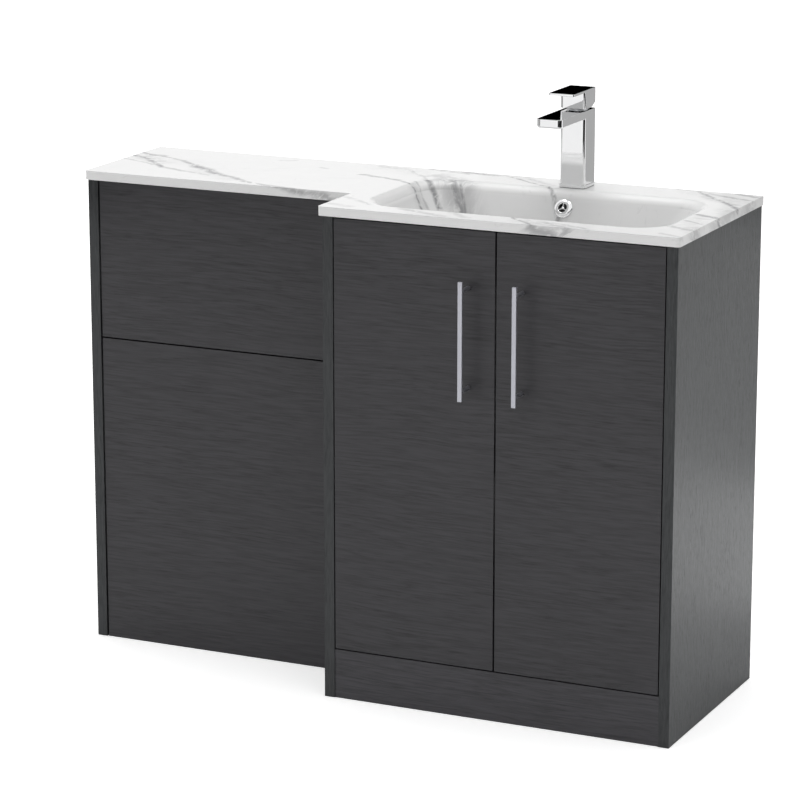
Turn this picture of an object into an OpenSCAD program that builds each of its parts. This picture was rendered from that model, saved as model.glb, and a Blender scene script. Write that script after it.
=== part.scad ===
// Bathroom combination unit: a toilet cabinet and a two-door basin cabinet under one stepped worktop
// with a cast-in basin and a square lever tap.
// Millimetres. X runs along the wall from the toilet side to the basin side, Z is up from the floor.
// The origin is on the floor, at the centre of the unit's bounding box, and the front faces -Y.

/* [Cabinets] */
// Height of both cabinets, up to the worktop's underside
cab_h = 800; // [760:1:860]
// Width of the toilet cabinet
wc_w = 500; // [460:1:600]
// Depth of the toilet cabinet from the wall
wc_d = 254; // [220:1:290]
// Width of the basin cabinet
van_w = 600; // [560:1:700]
// Depth of the basin cabinet from the wall
van_d = 381; // [375:1:420]
// Thickness of the boards
board_t = 18; // [16:0.5:19]
// Height of the plinth under the doors
plinth_h = 82.5; // [60:0.5:120]
// How far the plinth and the toilet panels lie behind their side panels' front edges
panel_recess = 1.5; // [0.5:0.5:4]
// Gap beside the toilet cabinet's front panels and between them
panel_gap = 2.5; // [1.5:0.5:4]
// Height of the line that splits the toilet cabinet's front panels
split_z = 529.8; // [480:0.1:560]
// Height of the flat rails behind the toilet cabinet's front
wc_rail_h = 80; // [60:1:110]
// Height of the rails along the wall
back_rail_h = 90; // [70:1:120]
// Height of the basin cabinet's front rail
front_rail_h = 60; // [45:1:80]
// Distance from the cabinet's top down to the shelf's underside
shelf_drop = 400; // [370:1:480]
// Clearance between the shelf and the boards around it
shelf_gap = 1.5; // [1:0.5:3]

/* [Doors] */
// Gap around each door
door_gap = 2; // [1.5:0.5:3]
// Gap between the two doors
centre_gap = 3; // [2:0.5:4]
// Gap between a door and the plinth, and under the worktop
door_end_gap = 2.5; // [2:0.5:4]
// Distance from a door's end to its hinge
hinge_inset = 100; // [80:1:140]
// Diameter of the hinge cup
cup_d = 35; // [26:1:35]
// Depth of the hinge cup
cup_depth = 11.5; // [10:0.5:12]
// Distance from the door's edge to the cup's rim
cup_edge = 5; // [4:0.5:6]

/* [Handles] */
// Length of the handle bar
handle_l = 191; // [160:1:220]
// Width of the handle bar
handle_w = 7.5; // [6:0.5:9]
// Thickness of the handle bar
handle_t = 5; // [4:0.5:7]
// Distance from the door's face to the bar's front
handle_reach = 35.5; // [28:0.5:38]
// Distance between the two posts
handle_pitch = 160; // [128:1:192]
// Diameter of a post
post_d = 7; // [6:0.5:7.5]
// Distance from the centre gap to the bar's centre line
handle_offset = 45.7; // [35:0.1:60]
// Distance from the cabinet's top down to the handle's centre
handle_drop = 173.8; // [140:0.1:240]
// Diameter of a handle screw
handle_screw_d = 4; // [3:0.5:4]

/* [Worktop] */
// Thickness of the worktop's edge
top_t = 15; // [12:0.5:20]
// Overhang at both ends
end_overhang = 2.5; // [0:0.5:8]
// Overhang in front of the basin cabinet
basin_overhang = 2; // [0:0.5:8]
// Overhang in front of the toilet cabinet
wc_overhang = 7; // [0:0.5:12]
// Overhang of the step past the basin cabinet's left side
step_overhang = 8; // [0:0.5:12]
// Plan radius of the worktop's front corners
top_corner_r = 6; // [2:0.5:15]
// Flat land in front of the bowl
land_front = 42; // [40:0.5:50]
// Flat land between the wall and the bowl
land_rear = 74; // [74:0.5:84]
// Flat land at each end of the bowl
land_end = 43.5; // [40:0.5:70]

/* [Bowl] */
// Depth of the bowl below the worktop
bowl_depth = 115; // [95:1:125]
// Plan radius of the bowl's corners at the rim
bowl_corner_r = 70; // [55:1:90]
// Radius of the rolled rim
rim_r = 20; // [14:1:24]
// Lean of the rolled rim's lower end from the level, where the wall starts
rim_turn = 70; // [60:1:80]
// How far the end walls run in from the rim to the floor
bowl_slope_end = 70; // [40:1:90]
// How far the front and rear walls run in from the rim to the floor
bowl_slope_side = 40; // [25:1:50]
// Radius between the walls and the floor
bowl_floor_r = 30; // [20:1:36]
// Thickness of the bowl's shell
shell_t = 10; // [8:0.5:11]
// Distance from the wall to the waste
waste_back = 190; // [170:1:220]
// Depth of the overflow's centre below the worktop
overflow_drop = 26.5; // [24:0.5:34]
// Diameter of the overflow hole
overflow_hole_d = 22; // [18:0.5:24]

/* [Tap] */
// Distance from the wall to the tap's centre
tap_back = 45.5; // [42:0.5:50]
// Side of the tap's square column
tap_w = 42; // [38:0.5:46]
// Radius of the column's upright edges
tap_edge_r = 4; // [2:0.5:6]
// Side of the tap's foot
tap_foot_w = 47; // [46:0.5:52]
// Height of the tap's foot
tap_foot_h = 5; // [3:0.5:8]
// Height of the column above the worktop
tap_h = 127.5; // [110:0.5:150]
// Length of the spout from the wall
spout_reach = 167; // [150:0.5:190]
// Thickness of the spout
spout_t = 11; // [10:0.5:14]
// Gap between the lever and the column
lever_gap = 3; // [2.5:0.25:4]
// Height of the lever's block and plate together
lever_h = 31; // [28:0.5:36]
// Thickness of the lever's plate
lever_t = 4; // [3:0.5:6]
// Length of the lever's plate
lever_l = 92; // [80:1:110]
// Radius of the cartridge
cartridge_r = 17.5; // [15:0.5:17.5]
// Radius of the cartridge's stem
stem_r = 6; // [4:0.5:7]
// Radius of the lever's pin
lever_pin_r = 1.5; // [1:0.25:2]
// Radius of the tap's threaded shank
shank_r = 15; // [13:0.5:15.5]
// Radius of a water inlet's thread
inlet_r = 4.5; // [3.5:0.25:5]

/* [Waste and trap] */
// Outside radius of the waste's threaded tube
waste_r = 21; // [18:0.5:22]
// Wall of the waste's tube
waste_wall = 2.5; // [1.5:0.25:3]
// Radius of the waste's flange
waste_flange_r = 31.5; // [29:0.5:34]
// Length of the waste below the bowl's floor
waste_l = 84; // [76:1:92]
// Radius of the waste's plug
plug_r = 29; // [26:0.5:30]
// Outside radius of the bottle trap's body
trap_r = 27; // [24:0.5:30]
// Height of the bottle trap's body
trap_h = 60; // [52:1:70]
// Height of the trap's bottle
bottle_h = 62; // [50:1:70]
// Outside radius of the trap's outlet pipe
pipe_r = 16; // [14:0.5:18]
// Wall of the trap's parts
trap_wall = 2.5; // [2:0.25:3]

/* [Fixings] */
// Radius of a cam disc
cam_r = 7.4; // [6:0.1:7.5]
// Height of a cam disc
cam_h = 12.5; // [11:0.5:13]
// Distance from a board's end to the cam disc's centre
cam_reach = 24; // [20:1:34]
// Radius of a cam bolt's thread
cam_bolt_r = 2.5; // [2:0.25:3]
// Depth of a cam bolt in the side panel
cam_bolt_in = 11; // [8:0.5:13]
// Radius of the holes for the wall screws
wall_hole_r = 3; // [2.5:0.25:4]
// Distance from a side panel to its wall screw hole
wall_hole_in = 60; // [50:1:90]
// Radius of a shelf pin
shelf_pin_r = 2.5; // [2:0.25:3]
// Clearance of a fixing in its hole
fit = 0.1; // [0.05:0.05:0.2]

/* [Hidden] */
$fn = 64;
hull_fn = 40;
rim_fn = 96;
slip = 0.05;
seat = 0.3;
cut = 1;

wall_y = (van_d + handle_reach) / 2;
top_w = wc_w + van_w + 2 * end_overhang;
top_z = cab_h + top_t;
left_x = -top_w / 2;
wc_x = left_x + end_overhang;
van_x = wc_x + wc_w;
wc_in_x = wc_x + board_t;
wc_in_w = wc_w - 2 * board_t;
van_in_x = van_x + board_t;
van_in_w = van_w - 2 * board_t;

step_x = van_x - step_overhang;
basin_top_d = van_d + basin_overhang;
wc_top_d = wc_d + wc_overhang;
basin_top_w = top_w / 2 - step_x;
basin_x = step_x + basin_top_w / 2;

bowl_w = basin_top_w - 2 * land_end;
bowl_d = basin_top_d - land_front - land_rear;
bowl_back = land_rear + bowl_d / 2;
rim_start = 3;
rim_reach = rim_r * sin(rim_turn);
rim_in = round(10 * (rim_reach - rim_r * sin(rim_start))) / 10;
rim_drop = round(10 * rim_r * (cos(rim_start) - cos(rim_turn))) / 10;
rim_foot = 0.5;
wall_top = rim_drop + rim_foot;
bowl_floor_z = top_z - bowl_depth;
waste_seat = 4;
waste_boss_h = 22;
waste_boss_z = bowl_floor_z - waste_boss_h;
waste_boss_r = waste_flange_r + 2;
waste_hole_r = waste_r + 1;
flange_gap = 0.5;
tap_hole_r = shank_r + 2.5;

overflow_z = top_z - overflow_drop;
wall_run = bowl_slope_side + bowl_floor_r;
wall_rise = bowl_depth - wall_top - bowl_floor_r;
overflow_lean = atan(wall_run / wall_rise) - asin(bowl_floor_r / norm([wall_run, wall_rise]));
overflow_back = land_rear + rim_in + (overflow_drop - wall_top) * tan(overflow_lean);
channel_t = 8;
channel_w = 22;
channel_wall = 4;
channel_back = overflow_back - shell_t - channel_t;

door_w = (van_in_w - 2 * door_gap - centre_gap) / 2;
door_z = plinth_h + door_end_gap;
door_h = cab_h - door_end_gap - door_z;
door_x = [van_in_x + door_gap, van_in_x + van_in_w - door_gap - door_w];
hinge_z = [door_z + hinge_inset, door_z + door_h - hinge_inset];
cup_r = cup_d / 2;
cup_in = cup_edge + cup_r;
carcass_front = van_d - board_t - door_gap;
bumper_r = 4;
bumper_in = 30;
bumper_t = door_gap - seat;
base_z = plinth_h;
post_l = handle_reach - handle_t;
handle_z = cab_h - handle_drop;
handle_edge_r = 1;
handle_thread = 12;
handle_screw_in = 10;
handle_head_t = 1.6;
shelf_z = cab_h - shelf_drop;

panel_front = wc_d - panel_recess;
panel_rear = panel_front - board_t;
lower_panel_h = split_z - panel_gap / 2;
upper_panel_z = split_z + panel_gap / 2;
upper_panel_h = cab_h - door_end_gap - upper_panel_z;
clip_in = 60;
clip_x = [wc_in_x + clip_in, wc_in_x + wc_in_w - clip_in];
clip_z = [split_z + wc_rail_h / 4, cab_h - wc_rail_h / 2];
clip_r = 7;
ball_r = 4;
ball_reach = 9;

gasket_t = 1;
gasket_in = 1;
foot_z = top_z + gasket_t;
column_top = top_z + tap_h;
cavity_h = 38;
cavity_z = column_top - cavity_h;
nut_h = 9.5;
nut_rise = 1.5;
lever_z = column_top + lever_gap;
pivot_rise = 5.5;
pivot_z = lever_z + pivot_rise;
lever_recess_gap = 1.5;
lever_recess_r = cartridge_r + lever_recess_gap;
lever_edge_r = tap_edge_r / 2;
lever_recess_h = 16.5;
lever_chamfer_h = 7.5;
lever_chamfer_d = 16;
socket_h = 10;
shank_l = 58;
aerator_r = 11;
aerator_h = 8;
aerator_in = 17;
aerator_back = spout_reach - aerator_in;
inlet_x = inlet_r + 2;
inlet_l = 15;
waterway_r = 3;
waterway_rise = 4.5;
stem_seat = 12;

trap_top = bowl_floor_z - waste_l;
trap_z = trap_top - trap_h;
trap_neck_h = 8;
trap_neck_r = trap_r - 3;
nut_lap = 4;
outlet_z = trap_z + trap_h * 0.55;
pipe_bore_r = pipe_r - trap_wall;
pipe_start = trap_r - 1;
trap_collar_r = trap_r + 3;
outlet_nut_l = 12;
outlet_l = trap_collar_r + outlet_nut_l + 1;

charcoal = "#434345";
carcass_grey = "#3c3c3e";
marble = "#f2f2f2";
chrome = "#d4d6d8";
satin = "#adadb2";
white_plastic = "#e6e6e4";
rubber = "#262626";
zinc = "#b9bcbf";

// Y of a place that is a given distance in front of the wall
function from_wall(distance) = wall_y - distance;

// The two ends of a board between side panels, as cam fixings:
// [x of the joint, direction into the board, distance from the wall, height, disc axis]
function board_cams(x, w, places, axis) =
    [for (p = places) each [[x, 1, p[0], p[1], axis], [x + w, -1, p[0], p[1], axis]]];

// Middle of a board that stands with its front at a given distance from the wall
function mid(front) = front - board_t / 2;

wc_cams = concat(
    board_cams(wc_in_x, wc_in_w, [for (z = [cab_h - wc_rail_h * 0.3, cab_h - wc_rail_h * 0.7])
        [mid(panel_rear), z]], "y"),
    board_cams(wc_in_x, wc_in_w, [for (s = [-0.2, 0.2])
        [mid(panel_rear), split_z + s * wc_rail_h]], "y"),
    board_cams(wc_in_x, wc_in_w, [[mid(panel_rear), wc_rail_h / 2]], "y"),
    board_cams(wc_in_x, wc_in_w, [[mid(board_t), cab_h - back_rail_h / 2]], "y"),
    board_cams(wc_in_x, wc_in_w, [[mid(board_t), back_rail_h / 2]], "y"));

base_cam_in = 55;
van_cams = concat(
    board_cams(van_in_x, van_in_w, [for (d = [base_cam_in, carcass_front - base_cam_in])
        [d, base_z + board_t / 2]], "z"),
    board_cams(van_in_x, van_in_w, [[mid(van_d - panel_recess), plinth_h / 2]], "y"),
    board_cams(van_in_x, van_in_w, [[mid(carcass_front), cab_h - front_rail_h / 2]], "y"),
    board_cams(van_in_x, van_in_w, [[mid(board_t), cab_h - back_rail_h / 2]], "y"),
    board_cams(van_in_x, van_in_w, [[mid(board_t), base_z + board_t + back_rail_h / 2]], "y"));

// A board from its left end and underside, between two distances from the wall
module board(x, z, w, h, front, rear) {
    translate([x, from_wall(front), z]) cube([w, front - rear, h]);
}

// A cylinder that lies along X
module rod_x(r, l) {
    rotate([0, 90, 0]) cylinder(r = r, h = l);
}

// A cylinder that lies along Y, from its front end towards the wall
module rod_y(r, l) {
    rotate([-90, 0, 0]) cylinder(r = r, h = l);
}

// A rectangle with round corners, centred
module round_rect(w, d, r) {
    square([w - 2 * r, d], center = true);
    square([w, d - 2 * r], center = true);
    for (sx = [-1, 1], sy = [-1, 1])
        translate([sx * (w / 2 - r), sy * (d / 2 - r)]) circle(r);
}

cam_bolt_gap = 1;
cam_head_r = cam_bolt_r + 0.5;
cam_head_l = 3;
cam_neck = 4;
cam_slot_r = cam_head_r + 2 * fit;

// A place on a cam fixing, with X pointing into the board
module at_cam(c) {
    translate([c[0], from_wall(c[2]), c[3]]) mirror([c[1] < 0 ? 1 : 0, 0, 0]) children();
}

// The disc of a cam fixing, or its hole, from the middle of the board to one face
module cam_disc_form(c, r, h) {
    translate([cam_reach, 0, 0]) rotate([c[4] == "y" ? -90 : 180, 0, 0])
        translate([0, 0, board_t / 2 - h]) cylinder(r = r, h = h);
}

// What a cam fixing takes out of the board it holds
module board_holes(cams) {
    for (c = cams) at_cam(c) {
        translate([-cut, 0, 0]) rod_x(cam_bolt_r + cam_bolt_gap, cam_reach + cut);
        cam_disc_form(c, cam_r + fit, cam_h + 2 * fit);
        translate([cam_reach, 0, 0]) rotate([c[4] == "y" ? -90 : 180, 0, 0])
            translate([0, 0, board_t / 2 - fit]) cylinder(r = cam_r + fit, h = cut);
    }
}

// What a cam fixing takes out of the side panel
module side_holes(cams, x) {
    for (c = cams) if (c[0] == x) at_cam(c)
        translate([-cam_bolt_in - fit, 0, 0]) rod_x(cam_bolt_r + slip, cam_bolt_in + fit + cut);
}

// Holes for the wall screws in a rail along the wall
module wall_holes(x, w, z) {
    for (hx = [x + wall_hole_in, x + w - wall_hole_in])
        translate([hx, from_wall(board_t) - cut, z]) rod_y(wall_hole_r, board_t + 2 * cut);
}

// Holes through both neighbouring sides for the joining screws
join_edge = 65;
join_end = 110;
join_places = [for (d = [join_edge, wc_d - join_edge], z = [join_end, cab_h - join_end]) [d, z]];
join_r = 4;
join_head_r = 2 * join_r;
join_head_t = 1.5;
join_sleeve_l = 2 * board_t - 4;
join_thread_in = 8;
join_screw_r = 2;
join_screw_l = board_t + 10;
module join_holes() {
    for (p = join_places) translate([van_x - board_t - cut, from_wall(p[0]), p[1]])
        rod_x(join_r + fit, 2 * board_t + 2 * cut);
}

// ---- Worktop and basin ----

module worktop_plan() {
    difference() {
        union() {
            translate([left_x, from_wall(wc_top_d)]) square([top_w, wc_top_d]);
            translate([step_x, from_wall(basin_top_d)]) square([basin_top_w, basin_top_d]);
        }
        for (c = [[left_x, wc_top_d, 1], [step_x, basin_top_d, 1], [top_w / 2, basin_top_d, -1]])
            translate([c[0], from_wall(c[1])]) mirror([c[2] < 0 ? 1 : 0, 0]) difference() {
                translate([-cut, -cut]) square(top_corner_r + cut);
                translate([top_corner_r, top_corner_r]) circle(top_corner_r);
            }
    }
}

// The bowl's walls and floor, grown by a shell, with an upright lip above the walls
module bowl_form(grow, lip) {
    w = bowl_w - 2 * rim_in;
    d = bowl_d - 2 * rim_in;
    r = bowl_corner_r - rim_in;
    floor_w = w - 2 * bowl_slope_end;
    floor_d = d - 2 * bowl_slope_side;
    hull() for (sx = [-1, 1], sy = [-1, 1]) {
        translate([sx * (w / 2 - r), sy * (d / 2 - r), -wall_top])
            cylinder(r = r + grow, h = lip, $fn = hull_fn);
        translate([sx * (floor_w / 2 - bowl_floor_r), sy * (floor_d / 2 - bowl_floor_r),
            bowl_floor_r - bowl_depth]) sphere(r = bowl_floor_r + grow, $fn = hull_fn);
    }
}

// Section that the rolled rim leaves open, from the wall's foot line outwards
module rim_section() {
    difference() {
        translate([0, -rim_drop]) square([rim_reach, rim_drop + cut]);
        translate([rim_reach, -rim_r * cos(rim_start)]) circle(rim_r, $fn = rim_fn);
    }
}

// What the rolled rim and the opening above the walls take out of the slab
module rim_opening() {
    w = bowl_w - 2 * rim_in;
    d = bowl_d - 2 * rim_in;
    r = bowl_corner_r - rim_in;
    translate([0, 0, -wall_top]) linear_extrude(wall_top + cut) round_rect(w, d, r);
    for (sx = [-1, 1], sy = [-1, 1])
        translate([sx * (w / 2 - r), sy * (d / 2 - r), 0])
            mirror([sx < 0 ? 1 : 0, 0, 0]) mirror([0, sy < 0 ? 1 : 0, 0])
                rotate_extrude(angle = 90) translate([r, 0]) rim_section();
    for (s = [0, 180]) rotate([0, 0, s]) {
        translate([w / 2, d / 2 - r, 0]) rotate([90, 0, 0])
            linear_extrude(d - 2 * r) rim_section();
        translate([-(w / 2 - r), d / 2, 0]) rotate([90, 0, 90])
            linear_extrude(w - 2 * r) rim_section();
    }
}

// Block that carries the overflow channel down the rear wall and under the floor
module channel_block() {
    block_w = channel_w + 2 * channel_wall;
    board(basin_x - block_w / 2, waste_boss_z, block_w, cab_h - waste_boss_z,
        overflow_back, channel_back - channel_wall);
    board(basin_x - block_w / 2, waste_boss_z, block_w, bowl_floor_z - waste_boss_z,
        waste_back, channel_back);
    translate([basin_x, from_wall(waste_back), waste_boss_z])
        cylinder(r = waste_boss_r, h = waste_boss_h);
}

// Channel from the overflow hole down to the waste
module channel_hollow() {
    channel_z = waste_boss_z + channel_wall;
    board(basin_x - channel_w / 2, channel_z, channel_w, overflow_z + channel_w / 2 - channel_z,
        channel_back + channel_t, channel_back);
    board(basin_x - channel_w / 2, channel_z, channel_w, channel_t, waste_back, channel_back);
}

// A place at the overflow, with Z along its axis into the bowl
module at_overflow() {
    translate([basin_x, from_wall(overflow_back), overflow_z])
        rotate([90 - overflow_lean, 0, 0]) children();
}

module worktop_basin() color(marble) {
    difference() {
        union() {
            translate([0, 0, cab_h]) linear_extrude(top_t) worktop_plan();
            translate([basin_x, from_wall(bowl_back), top_z]) bowl_form(shell_t, wall_top / 2);
            channel_block();
        }
        translate([basin_x, from_wall(bowl_back), top_z]) {
            bowl_form(0, rim_foot);
            rim_opening();
        }
        channel_hollow();
        at_overflow() translate([0, 0, -shell_t - channel_t / 2])
            cylinder(r = overflow_hole_d / 2, h = shell_t + channel_t);
        translate([basin_x, from_wall(waste_back), waste_boss_z - cut])
            cylinder(r = waste_hole_r, h = bowl_depth);
        translate([basin_x, from_wall(waste_back), bowl_floor_z - waste_seat])
            cylinder(r = waste_flange_r + flange_gap, h = bowl_depth);
        translate([basin_x, from_wall(tap_back), cab_h - cut])
            cylinder(r = tap_hole_r, h = top_t + 2 * cut);
    }
}

// Domed cover with three slots and a short tail in the overflow hole
cover_r = overflow_hole_d / 2 + 4;
cover_h = 5;
grid_r = 7;
grid_edge = 0.6;
spoke_w = 1.8;
slot_in = 2.4;
slot_w = 3.4;
slot_turns = [-90, 30, 150];
module overflow_cover() color(chrome) {
    at_overflow() translate([0, 0, seat]) difference() {
        union() {
            rotate_extrude() intersection() {
                translate([cover_r - cover_h, 0]) circle(cover_h);
                square([cover_r, cover_h]);
            }
            cylinder(r = cover_r - cover_h, h = cover_h * 0.6);
            translate([0, 0, -shell_t]) cylinder(r = overflow_hole_d / 2 - fit, h = shell_t);
        }
        translate([0, 0, -shell_t - cut]) cylinder(r = grid_r, h = shell_t + cut);
        difference() {
            intersection() {
                for (a = slot_turns) rotate([0, 0, a])
                    translate([slot_in, -grid_r, -cut]) cube([slot_w, 2 * grid_r, cover_h + 2 * cut]);
                translate([0, 0, -cut]) cylinder(r = grid_r - grid_edge, h = cover_h + 2 * cut);
            }
            for (a = slot_turns) rotate([0, 0, a + 60])
                translate([0, -spoke_w / 2, -2 * cut]) cube([grid_r, spoke_w, cover_h + 4 * cut]);
        }
    }
}

// ---- Waste and trap ----

// A place on the waste's axis at a given height
module at_waste(z) {
    translate([basin_x, from_wall(waste_back), z]) children();
}

// A plain ring around Z
module ring(outer, inner, h) {
    difference() {
        cylinder(r = outer, h = h);
        translate([0, 0, -cut]) cylinder(r = inner, h = h + 2 * cut);
    }
}

// A hexagonal nut with a plain bore, across its flats
module hex_nut(flats, inner, h) {
    difference() {
        cylinder(r = flats / 2 / cos(30), h = h, $fn = 6);
        translate([0, 0, -cut]) cylinder(r = inner, h = h + 2 * cut);
    }
}

waste_bore_r = waste_r - waste_wall;
waste_seal_t = 1.5;
waste_flange_t = waste_seat - waste_seal_t;
bridge_z = bowl_floor_z - 40;
bridge_t = 4;
bridge_h = 6;
guide_r = 6;
guide_h = 20;
waste_slot_z = bowl_floor_z - 17;
waste_slot_w = 10;
waste_slot_h = 7;
plug_stem_r = 3;
plug_stem_l = 38;
plug_neck_l = 14;
plug_hub_r = 8;
plug_hub_l = 6;
plug_edge_h = 2;
plug_dome_h = 5;

// Flanged tube with four overflow slots and a bridge that guides the plug's stem
module waste_body() color(chrome) {
    at_waste(0) difference() {
        union() {
            translate([0, 0, bowl_floor_z - waste_flange_t])
                cylinder(r = waste_flange_r, h = waste_flange_t);
            translate([0, 0, trap_top]) cylinder(r = waste_r, h = waste_l);
        }
        difference() {
            translate([0, 0, trap_top - cut]) cylinder(r = waste_bore_r, h = waste_l + 2 * cut);
            translate([-waste_r, -bridge_t / 2, bridge_z]) cube([2 * waste_r, bridge_t, bridge_h]);
            translate([0, 0, bridge_z]) cylinder(r = guide_r, h = guide_h);
        }
        translate([0, 0, bridge_z - cut]) cylinder(r = plug_stem_r + slip, h = guide_h + 2 * cut);
        for (a = [0, 90]) rotate([0, 0, a]) translate([-waste_r - cut, -waste_slot_w / 2, waste_slot_z])
            cube([2 * waste_r + 2 * cut, waste_slot_w, waste_slot_h]);
    }
}

// Push-down plug, drawn shut, with its stem in the waste's bridge
module waste_plug() color(chrome) {
    at_waste(bowl_floor_z + seat) rotate_extrude() polygon([[0, -plug_stem_l],
        [plug_stem_r, -plug_stem_l], [plug_stem_r, -plug_neck_l], [plug_hub_r, -plug_hub_l],
        [plug_hub_r, 0], [plug_r, 0], [plug_r, plug_edge_h], [plug_r * 0.8, plug_dome_h * 0.72],
        [plug_r * 0.45, plug_dome_h * 0.92], [0, plug_dome_h]]);
}

module waste_seal() color(rubber) {
    at_waste(bowl_floor_z - waste_seat)
        ring(waste_flange_r - waste_seal_t, waste_r + slip, waste_seal_t);
}

waste_washer_t = 4;
waste_washer_w = 9;
waste_nut_h = 10;
waste_nut_w = 8;
module waste_washer() color(rubber) {
    at_waste(waste_boss_z - waste_washer_t)
        ring(waste_r + waste_washer_w, waste_r + slip, waste_washer_t);
}

module waste_backnut() color(white_plastic) {
    at_waste(waste_boss_z - waste_washer_t - waste_nut_h)
        hex_nut(2 * (waste_r + waste_nut_w), waste_r + slip, waste_nut_h);
}

inlet_nut_h = 22;
inlet_nut_w = 6;
module trap_inlet_nut() color(white_plastic) {
    at_waste(trap_top - nut_lap) difference() {
        ring(waste_r + inlet_nut_w, waste_r + fit, inlet_nut_h);
        translate([0, 0, -cut]) cylinder(r = trap_neck_r + fit, h = nut_lap + cut);
    }
}

dip_r = waste_r - 5;
dip_l = 30;
trap_body_wall = trap_wall + 2;

// Body with the dip tube down its middle and the outlet's socket at the back
module trap_body() color(white_plastic) {
    shoulder_h = trap_h - trap_neck_h;
    at_waste(0) difference() {
        union() {
            translate([0, 0, trap_z]) cylinder(r = trap_r, h = shoulder_h);
            translate([0, 0, trap_z]) cylinder(r = trap_neck_r, h = trap_h);
            translate([0, 0, trap_z - dip_l]) cylinder(r = dip_r, h = dip_l + cut);
            translate([0, 0, outlet_z]) rod_y(pipe_r + trap_wall, outlet_l);
        }
        difference() {
            translate([0, 0, trap_z - cut])
                cylinder(r = trap_r - trap_body_wall, h = shoulder_h + cut);
            translate([0, 0, trap_z - dip_l]) cylinder(r = dip_r, h = dip_l + trap_h);
        }
        translate([0, 0, trap_z - dip_l - cut])
            cylinder(r = dip_r - trap_wall, h = dip_l + trap_h + 2 * cut);
        difference() {
            translate([0, 0, outlet_z]) rod_y(pipe_r + slip, outlet_l + cut);
            translate([0, 0, trap_z]) cylinder(r = pipe_start, h = trap_h);
        }
        difference() {
            translate([0, 0, outlet_z]) rod_y(pipe_bore_r, trap_r + cut);
            translate([0, 0, trap_z]) cylinder(r = dip_r, h = trap_h);
        }
    }
}

collar_h = 14;
collar_lap = 2;
bottle_foot = 6;
bottle_wall = trap_wall + 3;

// Screw-off cup under the trap's body
module trap_bottle() color(white_plastic) {
    at_waste(trap_z - bottle_h) difference() {
        union() {
            translate([0, 0, bottle_foot]) cylinder(r = trap_r, h = bottle_h - bottle_foot);
            cylinder(r1 = trap_r - bottle_foot, r2 = trap_r, h = bottle_foot);
            translate([0, 0, bottle_h - collar_lap]) cylinder(r = trap_collar_r, h = collar_h);
        }
        translate([0, 0, trap_wall]) cylinder(r = trap_r - bottle_wall, h = bottle_h);
        translate([0, 0, bottle_h]) cylinder(r = trap_r + fit, h = collar_h);
    }
}

outlet_nut_w = 4;
module trap_outlet_nut() color(white_plastic) {
    nut_r = pipe_r + trap_wall + outlet_nut_w;
    at_waste(outlet_z) translate([0, outlet_l - outlet_nut_l, 0]) rotate([-90, 0, 0]) {
        ring(nut_r, pipe_r + trap_wall + slip, outlet_nut_l);
        translate([0, 0, outlet_nut_l]) ring(nut_r, pipe_r + slip, nut_lap);
    }
}

// Pipe from the trap back to the wall, with a bead that stops the wall coupling
spigot_l = 50;
bead_l = 4;
bead_r = pipe_r + 2;
module trap_outlet_pipe() color(white_plastic) {
    pipe_l = waste_back - pipe_start - seat;
    at_waste(outlet_z) translate([0, pipe_start + seat, 0]) rotate([-90, 0, 0]) {
        ring(pipe_r, pipe_bore_r, pipe_l);
        translate([0, 0, pipe_l - spigot_l - bead_l]) ring(bead_r, pipe_bore_r, bead_l);
    }
}

// ---- Tap ----

// A place on the tap's axis at a given height
module at_tap(z) {
    translate([basin_x, from_wall(tap_back), z]) children();
}

// A square upright with round edges
module square_post(w, h, r) {
    linear_extrude(h) round_rect(w, w, r);
}

// Flat spout: its cross-section along Y, trimmed to round plan corners
module spout() {
    reach = spout_reach - tap_back;
    l = reach + tap_w / 2;
    under_r = 3.5;
    edge_r = 0.8;
    intersection() {
        translate([0, tap_w / 2 - l / 2, column_top - spout_t])
            linear_extrude(spout_t) round_rect(tap_w, l, tap_edge_r);
        translate([0, tap_w / 2 + cut, column_top - spout_t]) rotate([90, 0, 0])
            linear_extrude(l + 2 * cut) union() {
                translate([0, spout_t - under_r]) round_rect(tap_w, 2 * under_r, edge_r);
                translate([0, spout_t / 2]) square([tap_w - 2 * under_r, spout_t], center = true);
                translate([-tap_w / 2, under_r]) square([tap_w, spout_t - 2 * under_r]);
                for (s = [-1, 1]) translate([s * (tap_w / 2 - under_r), under_r]) circle(under_r);
            }
        translate([-tap_w / 2, tap_w / 2 - l, column_top - spout_t]) rotate([90, 0, 90])
            linear_extrude(tap_w) union() {
                translate([under_r, 0]) square([l - under_r, spout_t]);
                translate([0, under_r]) square([l, spout_t - under_r]);
                translate([under_r, under_r]) circle(under_r);
            }
    }
}

module tap_body() color(chrome) {
    socket_top = foot_z + socket_h;
    aerator_y = tap_back - aerator_back;
    at_tap(0) difference() {
        union() {
            translate([0, 0, foot_z]) square_post(tap_foot_w, tap_foot_h, tap_edge_r + 1);
            translate([0, 0, foot_z]) square_post(tap_w, column_top - foot_z, tap_edge_r);
            spout();
        }
        translate([0, 0, cavity_z]) cylinder(r = cartridge_r + fit, h = cavity_h + cut);
        translate([0, 0, foot_z - cut]) cylinder(r = shank_r + slip, h = socket_h + cut);
        for (s = [-1, 1]) translate([s * inlet_x, 0, socket_top - cut]) {
            cylinder(r = inlet_r, h = inlet_l + cut);
            cylinder(r = waterway_r, h = cavity_z - socket_top + 2 * cut);
        }
        translate([0, aerator_y, column_top - spout_t - cut])
            cylinder(r = aerator_r + slip, h = aerator_h + cut);
        translate([0, aerator_y, column_top - spout_t + waterway_rise])
            rod_y(waterway_r, -aerator_y);
    }
}

module tap_gasket() color(rubber) {
    at_tap(top_z) difference() {
        square_post(tap_foot_w - 2 * gasket_in, gasket_t, tap_edge_r);
        translate([0, 0, -cut]) cylinder(r = shank_r + fit, h = gasket_t + 2 * cut);
    }
}

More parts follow.
